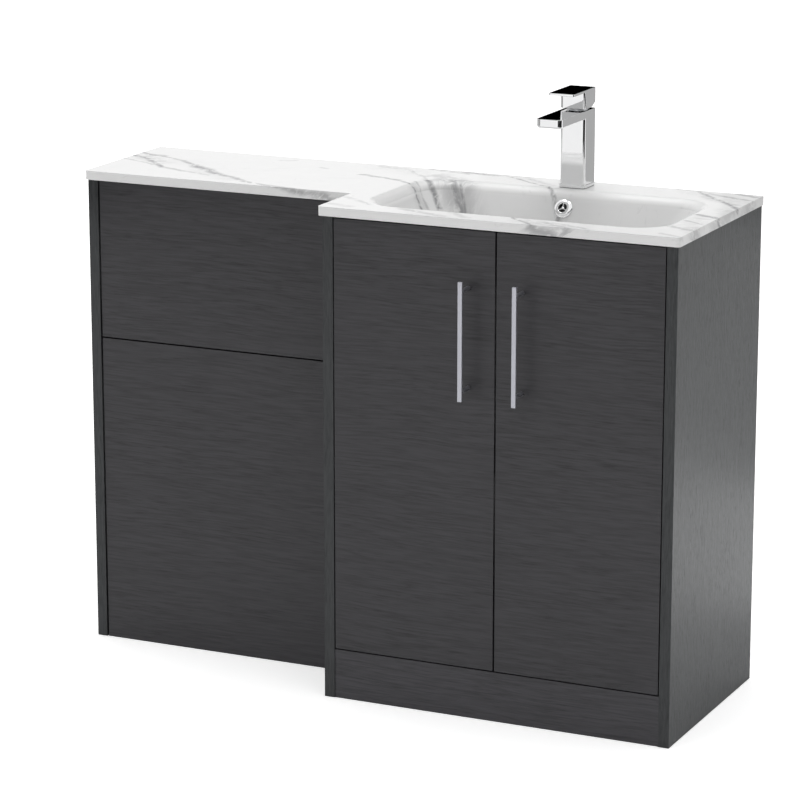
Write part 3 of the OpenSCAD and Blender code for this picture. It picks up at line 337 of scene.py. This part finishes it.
VEINS = (  # where each vein starts and ends on the worktop, its half width, all mm, and its depth
    ((-558, 115), (-520, 96), 8, 0.70), ((-520, 96), (-454, 35), 8, 0.72),
    ((-559, 83), (-520, 68), 5, 0.45), ((-520, 68), (-473, 44), 5, 0.40),
    ((-454, 35), (-399, 15), 8, 0.45), ((-399, 15), (-344, -5), 8, 0.35),
    ((-560, 149), (-526, 130), 9, 0.60), ((-526, 130), (-499, 124), 12, 0.60),
    ((-499, 124), (-450, 102), 6, 0.45), ((-450, 102), (-409, 66), 7, 0.60),
    ((-409, 66), (-339, 16), 14, 0.75), ((-339, 16), (-262, -30), 9, 0.62),
    ((-262, -30), (-202, -48), 8, 0.50), ((-202, -48), (-140, -56), 7, 0.45),
    ((-140, -56), (-75, -67), 7, 0.40), ((-550, 118), (-470, 70), 26, 0.30),
    ((-300, 176), (-275, 184), 8, 0.20), ((-210, 142), (-195, 138), 6, 0.20),
    ((-115, 110), (-40, 88), 8, 0.55), ((-50, -82), (10, -125), 8, 0.28),
    ((-50, -146), (-10, -154), 10, 0.22),
    ((-120, 196), (-65, 186), 12, 0.28), ((-65, 186), (10, 106), 7, 0.35),
    ((-40, 88), (-20, 74), 5, 0.50), ((-20, 74), (60, 20), 5, 0.60),
    ((-10, 92), (45, 48), 5, 0.35), ((-5, 114), (60, 72), 7, 0.65),
    ((38, 130), (90, 80), 12, 0.60), ((60, 122), (95, 74), 6, 0.60),
    ((-30, 206), (42, 191), 12, 0.50), ((-15, 136), (40, 138), 14, 0.22),
    ((102, 203), (212, 130), 5, 0.60), ((212, 130), (246, 100), 5, 0.55),
    ((140, 202), (205, 150), 12, 0.30),
    ((75, -137), (155, -168), 10, 0.28), ((155, -134), (195, -160), 9, 0.22),
    ((260, -130), (312, -180), 6, 0.55), ((312, -180), (372, -196), 12, 0.50),
    ((316, -146), (372, -184), 12, 0.42), ((330, -144), (404, -173), 6, 0.30),
    ((408, 205), (446, 200), 6, 0.40), ((446, 200), (560, 76), 8, 0.62),
    ((498, 177), (552, 156), 7, 0.52), ((505, 208), (548, 189), 9, 0.45),
    ((510, 15), (568, -14), 8, 0.60), ((510, -41), (542, -59), 7, 0.40),
    ((500, -89), (565, -124), 8, 0.40), ((518, -14), (556, -18), 5, 0.35),
    ((512, -153), (556, -170), 7, 0.22),
    ((5, 150), (90, 84), 34, 0.34), ((-110, 200), (-40, 170), 40, 0.10),
    ((440, 195), (552, 140), 34, 0.12), ((520, -10), (540, -70), 44, 0.12),
    ((545, -100), (578, -138), 24, 0.34), ((285, -150), (365, -178), 26, 0.22),
    ((110, 205), (190, 150), 24, 0.12), ((20, 150), (70, 120), 26, 0.30),
    ((72, 128), (92, 84), 9, 0.22), ((0, 70), (50, 30), 18, 0.22),
    ((20, 205), (95, 196), 12, 0.60), ((470, 160), (540, 110), 14, 0.28),
    ((440, 200), (500, 176), 10, 0.34),
    ((548, 60), (575, -40), 30, 0.26), ((555, 150), (578, 90), 20, 0.26),
    ((-560, 120), (-420, 80), 40, 0.08), ((-380, 30), (-300, -20), 26, 0.14),
)


VEIN_SPREAD = 1.2  # how many half widths out a vein has faded away
VEIN_STRENGTH = 1.18


def along_vein(plan, start, end, half_width):
    """1 on a line over the worktop, fading to 0 a little beyond half_width from it."""
    run = Vector((end[0] - start[0], end[1] - start[1], 0))
    gone = plan.vector("SUBTRACT", plan, (*start, 0))
    share = gone.vector("DOT_PRODUCT", gone, run / run.length_squared, output=1)
    nearest = gone.vector("SCALE", run, Scale=share.larger(0.0).smaller(1.0))
    return 1 - gone.vector("DISTANCE", gone, nearest, output=1).fade(0.0, half_width * VEIN_SPREAD)


TOP_Z = 815  # the worktop's top, mm
EDGE_FOLD = 25.0  # how far down the pattern follows an outer edge, mm
# The box over the bowl in plan, mm: its middle in X, its half sizes and its soft edge
BOWL_X, BOWL_HALF_X, BOWL_HALF_Y, BOWL_EDGE = 247, 238, 134, 6
# How much painted shade darkens the bowl, from which height down, and over how many mm that comes on
BOWL_PAINTED_SHADE, SHADE_FROM, SHADE_DEPTH = 0.15, 812, 16


def marble():
    """White marble effect. The pattern folds over the outer edges and runs down into the bowl, where
    painted shade darkens it.
    """
    def varying(place):
        millimetres = place.vector("SCALE", place, Scale=1 / MM)
        x, y, z = millimetres.axes()
        in_bowl = ((1 - abs(x - BOWL_X).fade(BOWL_HALF_X, BOWL_HALF_X + BOWL_EDGE))
                   * (1 - abs(y).fade(BOWL_HALF_Y, BOWL_HALF_Y + BOWL_EDGE)))
        fold = (TOP_Z - z).larger(0.0).smaller(EDGE_FOLD) * (1 - in_bowl)
        flat = place.node("ShaderNodeCombineXYZ", None, {0: x + fold, 1: y - fold, 2: 0.0})
        wander = flat.noise(0.018, 5.0, 0.62, colours=True)
        shift = wander.vector("SUBTRACT", wander, (0.5, 0.5, 0.5))
        plan = flat.vector("ADD", flat, shift.vector("MULTIPLY", shift, (26, 26, 0)))
        cloudy = plan.noise(0.045, 5.0, 0.65, 1.5)
        grey = along_vein(plan, *VEINS[0][:3]) * VEINS[0][3]
        for start, end, half_width, depth in VEINS[1:]:
            grey = grey.larger(along_vein(plan, start, end, half_width) * depth)
        grey = grey * cloudy.fade(0.30, 0.56) * VEIN_STRENGTH
        smoke = (plan.noise(0.012, 6.0, 0.6, 2.0).fade(0.52, 0.80)
                 * plan.noise(0.006, 2.0).fade(0.50, 0.70))
        thread = 1 - (abs(plan.noise(0.011, 3.0, 0.5, 1.0) - 0.5) * 60).fade(0.0, 1.0)
        speck = plan.noise(0.10, 2.0).fade(0.70, 0.78)
        grey = grey + smoke * 0.12 + thread * cloudy.fade(0.5, 0.7) * 0.10 + speck * 0.07
        # Painted shade: the marble inside the bowl darkens from just under the rim down.
        shade = 1 - in_bowl * (SHADE_FROM - z).fade(0, SHADE_DEPTH) * BOWL_PAINTED_SHADE
        colour = grey.tint((0.905, 0.905, 0.903), (0.20, 0.20, 0.21))
        return {"Base Color": colour.vector("SCALE", colour, Scale=shade),
                "Roughness": 0.16 + place.noise(30.0, 3.0, 0.5) * 0.08,
                "Normal": place.noise(55.0, 2.0, 0.5).bump(0.03, 0.0004)}
    return finish_of("marble_effect", {"Specular IOR Level": 0.22}, varying)


def chrome():
    """Bright chrome with a faint smear."""
    def varying(place):
        smear = place.noise(26.0, 4.0, 0.6)
        return {"Base Color": smear.tint((0.82, 0.825, 0.83), (0.87, 0.87, 0.875)),
                "Roughness": 0.02 + smear * 0.03}
    return finish_of("chrome_plate", {"Metallic": 1.0}, varying)


# Painted shadow of the bar on a handle's posts: from which Y on it starts, over how many metres it comes
# on, and how dark it is
DARK_FROM_Y, DARK_OVER, POST_PAINTED_SHADOW = -0.2005, 0.003, 0.34


def satin(name, squeeze, painted_post_shadow=False):
    """Brushed satin metal. A handle's posts, behind its bar, can carry a painted shadow of the bar."""
    def varying(place):
        lines = place.noise(1.0, 3.0, 0.6, 0.0, squeeze)
        colour = lines.tint((0.47, 0.475, 0.52), (0.52, 0.525, 0.57))
        if painted_post_shadow:
            # Painted shadow: the posts behind the bar are darkened.
            behind = place.axes()[1].fade(DARK_FROM_Y, DARK_FROM_Y + DARK_OVER)
            colour = colour.vector("SCALE", colour, Scale=1 - behind * POST_PAINTED_SHADOW)
        return {"Base Color": colour, "Roughness": 0.36 + lines * 0.10,
                "Normal": lines.bump(0.05, 0.0001)}
    return finish_of(name, {"Metallic": 0.85}, varying)


def white_plastic():
    """White moulded plastic, a little grimy."""
    def varying(place):
        mottle = place.noise(60.0, 3.0, 0.5)
        grime = place.noise(18.0, 5.0, 0.7).fade(0.55, 0.8)
        tone = mottle * 0.3 + grime * 0.5
        return {"Base Color": tone.tint((0.80, 0.80, 0.785), (0.70, 0.70, 0.67)),
                "Roughness": 0.30 + mottle * 0.12,
                "Normal": place.noise(500.0, 2.0, 0.5).bump(0.06, 0.0002)}
    return finish_of("moulded_plastic", {}, varying)


def rubber():
    """Black rubber, almost without shine."""
    def varying(place):
        grain = place.noise(700.0, 3.0, 0.6)
        return {"Base Color": grain.tint((0.010, 0.010, 0.010), (0.030, 0.030, 0.030)),
                "Roughness": 0.62 + grain * 0.2, "Normal": grain.bump(0.2, 0.0002)}
    return finish_of("black_rubber", {}, varying)


def zinc():
    """Bright zinc plating with a fine spangle."""
    def varying(place):
        spangle = place.noise(160.0, 4.0, 0.6)
        cloud = place.noise(34.0, 3.0, 0.5)
        tone = spangle * 0.5 + cloud * 0.5
        return {"Base Color": tone.tint((0.46, 0.47, 0.49), (0.68, 0.69, 0.70)),
                "Roughness": 0.24 + spangle * 0.20, "Normal": spangle.bump(0.08, 0.0002)}
    return finish_of("bright_zinc", {"Metallic": 1.0}, varying)


FRONTS = charcoal("charcoal_grain_across", ACROSS, (0.0115, 0.0111, 0.0127),
                  (0.0415, 0.0400, 0.0450), roughness=0.42, contrast=1.4)
# Painted light: the plinth is a lighter copy of the fronts' foil, making up for the shade it gets low
# down by the floor.
PLINTH_PAINTED_LIGHT = charcoal("charcoal_plinth_painted_light", ACROSS, (0.0160, 0.0154, 0.0177),
                  (0.0600, 0.0580, 0.0655), roughness=0.42, contrast=1.3)
# The sides' bluish tint on faces that look left or right is painted reflection.
SIDES = charcoal("charcoal_grain_upright", UPRIGHT, (0.0118, 0.0118, 0.0120),
                 (0.0375, 0.0376, 0.0384), roughness=0.34, contrast=1.9, sideways_painted_reflection=(0.97, 1.0, 1.03),
                 constants={"Specular Tint": (0.92, 0.97, 1.0, 1), "Specular IOR Level": 0.51})
CHROME = chrome()
RUBBER = rubber()
finishes = {
    FRONTS: ["wc_lower_panel", "wc_access_panel", "left_door", "right_door"],
    PLINTH_PAINTED_LIGHT: ["vanity_plinth"],
    SIDES: ["wc_left_side", "wc_right_side", "vanity_left_side", "vanity_right_side"],
    carcass_board(): ["wc_top_rail", "wc_mid_rail", "wc_foot_rail", "wc_upper_back_rail",
                      "wc_lower_back_rail", "vanity_base", "vanity_front_rail",
                      "vanity_upper_back_rail", "vanity_lower_back_rail", "vanity_shelf"],
    marble(): ["worktop_basin"],
    CHROME: ["overflow_cover", "waste_body", "waste_plug", "tap_body", "tap_lever"],
    satin("satin_bar", (1400, 1400, 9), painted_post_shadow=True): ["left_handle_bar", "right_handle_bar"],
    satin("satin_small", (300, 300, 300)): ["tap_aerator", "hinge_pins"],
    white_plastic(): ["waste_backnut", "trap_inlet_nut", "trap_body", "trap_bottle",
                      "trap_outlet_nut", "trap_outlet_pipe", "tap_cartridge",
                      "panel_clip_studs", "panel_clip_sockets"],
    RUBBER: ["waste_seal", "waste_washer", "tap_gasket", "tap_washer", "door_bumpers"],
    zinc(): ["tap_cartridge_nut", "tap_stem", "tap_lever_pin", "tap_shank", "tap_backnut",
             "panel_screws", "shelf_pins", "left_handle_screws", "right_handle_screws",
             "left_hinge_cups", "right_hinge_cups", "hinge_arms", "hinge_plates", "cam_discs",
             "cam_bolts", "unit_joining_sleeves", "unit_joining_screws"],
}
for finish, names in finishes.items():
    for name in names:
        slots = nodes[name].data.materials
        for i in range(len(slots)):
            slots[i] = finish
        if not len(slots):
            slots.append(finish)


# ---- Softened edges of the boards, worktop and handles ----

BOARD_EDGE, WORKTOP_EDGE, HANDLE_EDGE = 0.6, 1.2, 0.5  # mm
WELD_GAP = 0.03  # mm
FLAT_WITHIN, CORNER_OVER = math.radians(0.3), math.radians(50)


def soften(name, width, steps=2):
    """Rounds a CAD node's edges as it is drawn. width is in mm."""
    piece = nodes[name]
    weld = piece.modifiers.new("weld", "WELD")
    weld.merge_threshold = WELD_GAP * MM
    flat = piece.modifiers.new("flat", "DECIMATE")
    flat.decimate_type = "DISSOLVE"
    flat.angle_limit = FLAT_WITHIN
    edge = piece.modifiers.new("edge", "BEVEL")
    edge.width = width * MM
    edge.segments = steps
    edge.limit_method = "ANGLE"
    edge.angle_limit = CORNER_OVER
    edge.use_clamp_overlap = True
    shade = piece.modifiers.new("shade", "WEIGHTED_NORMAL")
    shade.weight = 100


for name in finishes[FRONTS] + finishes[PLINTH_PAINTED_LIGHT] + finishes[SIDES]:
    soften(name, BOARD_EDGE)
soften("worktop_basin", WORKTOP_EDGE, 3)
for name in ("left_handle_bar", "right_handle_bar"):
    soften(name, HANDLE_EDGE, 3)


# ---- Forms ----

SHARP = math.radians(30)  # an edge that bends more than this is one to round
CREASE = math.radians(35)  # and one that bends more than this is shaded as a crease
NEAR, FLUSH = 0.1, 0.01  # mm within which places count as one, and as lying in one face


def side_block(profile, left, right):
    """A closed block whose outline, seen from the side in Y and Z, runs from left to right. In mm."""
    form = bmesh.new()
    near, far = [[form.verts.new((x * MM, y * MM, z * MM)) for y, z in profile] for x in (left, right)]
    form.faces.new(near)
    form.faces.new(reversed(far))
    for i in range(len(profile)):
        form.faces.new((near[i - 1], near[i], far[i], far[i - 1]))
    bmesh.ops.recalc_face_normals(form, faces=form.faces)
    return form


def round_over(form, radius, steps, picks):
    """Rounds the sharp edges that picks(middle, run) accepts, both in mm."""
    chosen = []
    for edge in form.edges:
        a, b = (v.co / MM for v in edge.verts)
        if edge.calc_face_angle(0) > SHARP and picks((a + b) / 2, b - a):
            chosen.append(edge)
    bmesh.ops.bevel(form, geom=chosen, offset=radius * MM, offset_type="OFFSET",
                    segments=steps, profile=0.5, affect="EDGES", clamp_overlap=True)


def evaluated(block):
    """A mesh of the object with its modifiers applied."""
    graph = bpy.context.evaluated_depsgraph_get()
    return bpy.data.meshes.new_from_object(block.evaluated_get(graph))


def rounded(form, steps, radius_of):
    """The form with each sharp edge rounded to its own radius_of(middle, run), all in mm."""
    radii = []
    for edge in form.edges:
        a, b = (v.co / MM for v in edge.verts)
        sharp = edge.calc_face_angle(0) > SHARP
        radii.append(radius_of((a + b) / 2, b - a) if sharp else 0)
    block = bpy.data.objects.new("block", mesh_of("block", form))
    bpy.context.scene.collection.objects.link(block)
    weights = block.data.attributes.new("bevel_weight_edge", "FLOAT", "EDGE")
    weights.data.foreach_set("value", [radius / max(radii) for radius in radii])
    cut = block.modifiers.new("round", "BEVEL")
    cut.limit_method = "WEIGHT"
    cut.width = max(radii) * MM
    cut.use_clamp_overlap = False
    cut.segments = steps
    whole = evaluated(block)
    bpy.data.objects.remove(block)
    form = bmesh.new()
    form.from_mesh(whole)
    bpy.data.meshes.remove(whole)
    return form


def upright(middle, run):
    """Whether an edge is upright."""
    return abs(run.z) > NEAR and abs(run.x) + abs(run.y) < NEAR


def mesh_of(name, *forms):
    """One mesh from several forms, which it frees."""
    whole = bmesh.new()
    for form in forms:
        part = bpy.data.meshes.new("part")
        form.to_mesh(part)
        form.free()
        whole.from_mesh(part)
        bpy.data.meshes.remove(part)
    mesh = bpy.data.meshes.new(name)
    whole.to_mesh(mesh)
    whole.free()
    return mesh


def spun(profile, steps, place):
    """A closed ring of profile points (radius, height) in mm around Z, set by a matrix."""
    form = bmesh.new()
    rings = []
    for i in range(steps):
        turn = 2 * math.pi * i / steps
        rings.append([form.verts.new((r * math.cos(turn) * MM, r * math.sin(turn) * MM, h * MM))
                      for r, h in profile])
    for i in range(steps):
        for j in range(len(profile)):
            form.faces.new((rings[i - 1][j - 1], rings[i][j - 1], rings[i][j], rings[i - 1][j]))
    bmesh.ops.recalc_face_normals(form, faces=form.faces)
    form.transform(place)
    return form


def drilled(mesh, *holes):
    """The mesh with round holes cut in it: each is a bottom centre, radius and height in mm."""
    block = bpy.data.objects.new("block", mesh)
    bpy.context.scene.collection.objects.link(block)
    drills = []
    for (x, y, z), radius, height in holes:
        form = bmesh.new()
        bmesh.ops.create_cone(form, cap_ends=True, segments=48, radius1=radius * MM,
                              radius2=radius * MM, depth=height * MM,
                              matrix=Matrix.Translation((x * MM, y * MM, (z + height / 2) * MM)))
        drill = bpy.data.objects.new("drill", mesh_of("drill", form))
        bpy.context.scene.collection.objects.link(drill)
        cut = block.modifiers.new("cut", "BOOLEAN")
        cut.operation = "DIFFERENCE"
        cut.solver = "EXACT"
        cut.object = drill
        drills.append(drill)
    whole = evaluated(block)
    for piece in [block, *drills]:
        bpy.data.objects.remove(piece)
    return whole


def even_shading(piece):
    """Smooth shading that keeps flat faces flat."""
    piece.data.shade_smooth()
    piece.data.set_sharp_from_angle(angle=CREASE)
    shade = piece.modifiers.new("shade", "WEIGHTED_NORMAL")
    shade.weight = 100
    shade.keep_sharp = True


# ---- Tap ----

# Places in the frame and sizes, all mm
TAP_X, TAP_Y = 247.25, 162.75
HALF = 22.2  # half the width of the column, the spout and the lever
COLUMN_TOP = 942.5
SPOUT_FRONT, SPOUT_UNDER = 38.5, 928
FOOT_LOW, FOOT_HIGH, FOOT_HALF = 816, 821, 23.5
COLUMN_LOW = FOOT_LOW + 1
LEVER_LOW, LEVER_TOP, PLATE_UNDER, PLATE_FRONT = 945.5, 976.5, 972.5, 91.75
LEVER_SLOPE_Y, LEVER_SLOPE_Z = 16, 7.5  # the slope under the lever's rear, which lets it tip

# Radii of the rounded edges
REAR_R, COLUMN_R, SPOUT_R, UNDER_R, TOP_R = 1.2, 6.5, 9.0, 3.4, 0.8
FOOT_R, FOOT_TOP_R = 5, 0.7
LEVER_R, PLATE_R, LEVER_EDGE_R = 5.5, 2.8, 0.5

# Holes: radius, depth and how far the drill starts outside the face
CARTRIDGE_R, CARTRIDGE_DEPTH, CARTRIDGE_OUT = 17.6, 12, 8
AERATOR_R, AERATOR_DEPTH, AERATOR_OUT = 11.05, 8, 1
SOCKET_R, SOCKET_DEPTH, SOCKET_OUT = 19, 16.5, 1
AERATOR_Y = 58.25


def tap_body():
    """The column with its spout, on its foot."""
    back, front = TAP_Y + HALF, TAP_Y - HALF
    body = side_block([(back, COLUMN_LOW), (back, COLUMN_TOP), (SPOUT_FRONT, COLUMN_TOP),
                       (SPOUT_FRONT, SPOUT_UNDER), (front, SPOUT_UNDER), (front, COLUMN_LOW)],
                      TAP_X - HALF, TAP_X + HALF)

    def radius_of(middle, run):
        on_top = middle.z > COLUMN_TOP - NEAR
        at_foot = middle.z < COLUMN_LOW + NEAR
        inner = abs(run.x) > NEAR and abs(middle.y - front) < NEAR
        if on_top or at_foot or inner:
            return 0
        if not upright(middle, run):
            return UNDER_R
        if middle.y > back - NEAR:
            return REAR_R
        return SPOUT_R if middle.y < SPOUT_FRONT + NEAR else COLUMN_R

    body = rounded(body, 8, radius_of)
    round_over(body, TOP_R, 2, lambda middle, run: middle.z > COLUMN_TOP - FLUSH)
    column = drilled(mesh_of("column", body),
                     ((TAP_X, TAP_Y, COLUMN_TOP - CARTRIDGE_DEPTH),
                      CARTRIDGE_R, CARTRIDGE_DEPTH + CARTRIDGE_OUT),
                     ((TAP_X, AERATOR_Y, SPOUT_UNDER - AERATOR_OUT),
                      AERATOR_R, AERATOR_DEPTH + AERATOR_OUT))
    foot = side_block([(TAP_Y - FOOT_HALF, FOOT_LOW), (TAP_Y - FOOT_HALF, FOOT_HIGH),
                       (TAP_Y + FOOT_HALF, FOOT_HIGH), (TAP_Y + FOOT_HALF, FOOT_LOW)],
                      TAP_X - FOOT_HALF, TAP_X + FOOT_HALF)
    round_over(foot, FOOT_R, 6, upright)
    round_over(foot, FOOT_TOP_R, 2, lambda middle, run: middle.z > FOOT_HIGH - FLUSH)
    upper = bmesh.new()
    upper.from_mesh(column)
    mesh = mesh_of("tap_column_and_spout", upper, foot)
    piece = mesh_piece("tap_column_and_spout", mesh, CHROME, "cabinet")
    even_shading(piece)
    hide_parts("tap_body")


def tap_lever():
    """The lever: a block over the column, with a thin plate that runs forward from its top."""
    back, front = TAP_Y + HALF, TAP_Y - HALF
    lever = side_block([(back, LEVER_LOW + LEVER_SLOPE_Z), (back, LEVER_TOP), (PLATE_FRONT, LEVER_TOP),
                        (PLATE_FRONT, PLATE_UNDER), (front, PLATE_UNDER), (front, LEVER_LOW),
                        (back - LEVER_SLOPE_Y, LEVER_LOW)], TAP_X - HALF, TAP_X + HALF)

    def radius_of(middle, run):
        if not upright(middle, run):
            return 0
        if middle.y > back - NEAR:
            return REAR_R
        return PLATE_R if middle.y < PLATE_FRONT + NEAR else LEVER_R

    def outer(middle, run):
        return abs(middle.z - PLATE_UNDER) > NEAR or middle.y < front - NEAR

    lever = rounded(lever, 6, radius_of)
    round_over(lever, LEVER_EDGE_R, 2, outer)
    mesh = drilled(mesh_of("lever", lever),
                   ((TAP_X, TAP_Y, LEVER_LOW - SOCKET_OUT), SOCKET_R, SOCKET_DEPTH + SOCKET_OUT))
    piece = mesh_piece("tap_lever_handle", mesh, CHROME, "tap_handle")
    even_shading(piece)
    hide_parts("tap_lever")


tap_body()
tap_lever()


# ---- Overflow cover ----

# The overflow hole's middle on the bowl's rear wall, and the wall's lean from upright
OVERFLOW_Y, OVERFLOW_Z, WALL_LEAN = 109.97, 788.5, math.radians(27.03)
COVER_SEAT = 0.3  # the cover's gap to the wall, mm
DOME_LEFT, DOME_DOWN = 0.8, 2.2  # how far the dome sits from the tail's axis, mm
# The dome's outside is a quarter of an oval, from its foot up to its crest
CREST_R, DOME_WIDTH, DOME_HEIGHT, DOME_STEPS = 8.6, 7.8, 5.5, 12
# Sections as radius and height, in mm
DOME_INSIDE = [(8.1, 5.4), (7.7, 5.0), (7.4, 4.3), (7.2, 3.4), (7.2, 1.0), (10.4, 1.0), (10.4, 0)]
# The throat is the cover's real tail; its black is painted shade of the hole behind the grid.
THROAT = [(7.2, 1.0), (10.6, 1.0), (10.9, -9.7), (10.6, -9.9), (7.2, -9.9)]
HUB = [(0.01, 2.4), (2.0, 2.4), (2.0, 3.5), (1.6, 3.8), (0.01, 3.9)]
# The grid's spokes: length, width, thickness, height of the middle and edge radius, in mm
SPOKE_L, SPOKE_W, SPOKE_T, SPOKE_Z, SPOKE_EDGE_R = 7.4, 1.7, 1.2, 3.0, 0.35


def overflow_cover():
    """A domed ring with a thin three-spoke grid over its tail, which is drawn black as painted shade in
    the hole.
    """
    on_wall = (Matrix.Translation((TAP_X * MM, OVERFLOW_Y * MM, OVERFLOW_Z * MM))
               @ Matrix.Rotation(math.pi / 2 - WALL_LEAN, 4, "X")
               @ Matrix.Translation((0, 0, COVER_SEAT * MM)))
    at_dome = on_wall @ Matrix.Translation((-DOME_LEFT * MM, -DOME_DOWN * MM, 0))
    arc = [math.pi / 2 * i / DOME_STEPS for i in range(DOME_STEPS + 1)]
    dome = [(CREST_R + DOME_WIDTH * math.cos(turn), DOME_HEIGHT * math.sin(turn)) for turn in arc]
    ring = spun(dome + DOME_INSIDE, 64, at_dome)
    throat = spun(THROAT, 48, on_wall)
    spokes = []
    for turn in (90, 210, 330):
        form = bmesh.new()
        bmesh.ops.create_cube(form, size=1, matrix=(
            Matrix.Rotation(math.radians(turn), 4, "Z")
            @ Matrix.Translation((SPOKE_L / 2 * MM, 0, SPOKE_Z * MM))
            @ Matrix.Diagonal((SPOKE_L * MM, SPOKE_W * MM, SPOKE_T * MM, 1))))
        bmesh.ops.bevel(form, geom=form.edges[:], offset=SPOKE_EDGE_R * MM, segments=2,
                        affect="EDGES", profile=0.5)
        form.transform(at_dome)
        spokes.append(form)
    hub = spun(HUB, 32, at_dome)
    dome_mesh = mesh_of("overflow_dome", ring, hub, *spokes)
    cover = mesh_piece("overflow_dome", dome_mesh, CHROME, "cabinet")
    even_shading(cover)
    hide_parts("overflow_cover")
    # Painted shade: the tail behind the grid is black so the overflow hole reads dark.
    tail = mesh_piece("overflow_tail_painted_shade", mesh_of("overflow_tail_painted_shade", throat), RUBBER, "cabinet")
    even_shading(tail)
    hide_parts("overflow_cover")


overflow_cover()
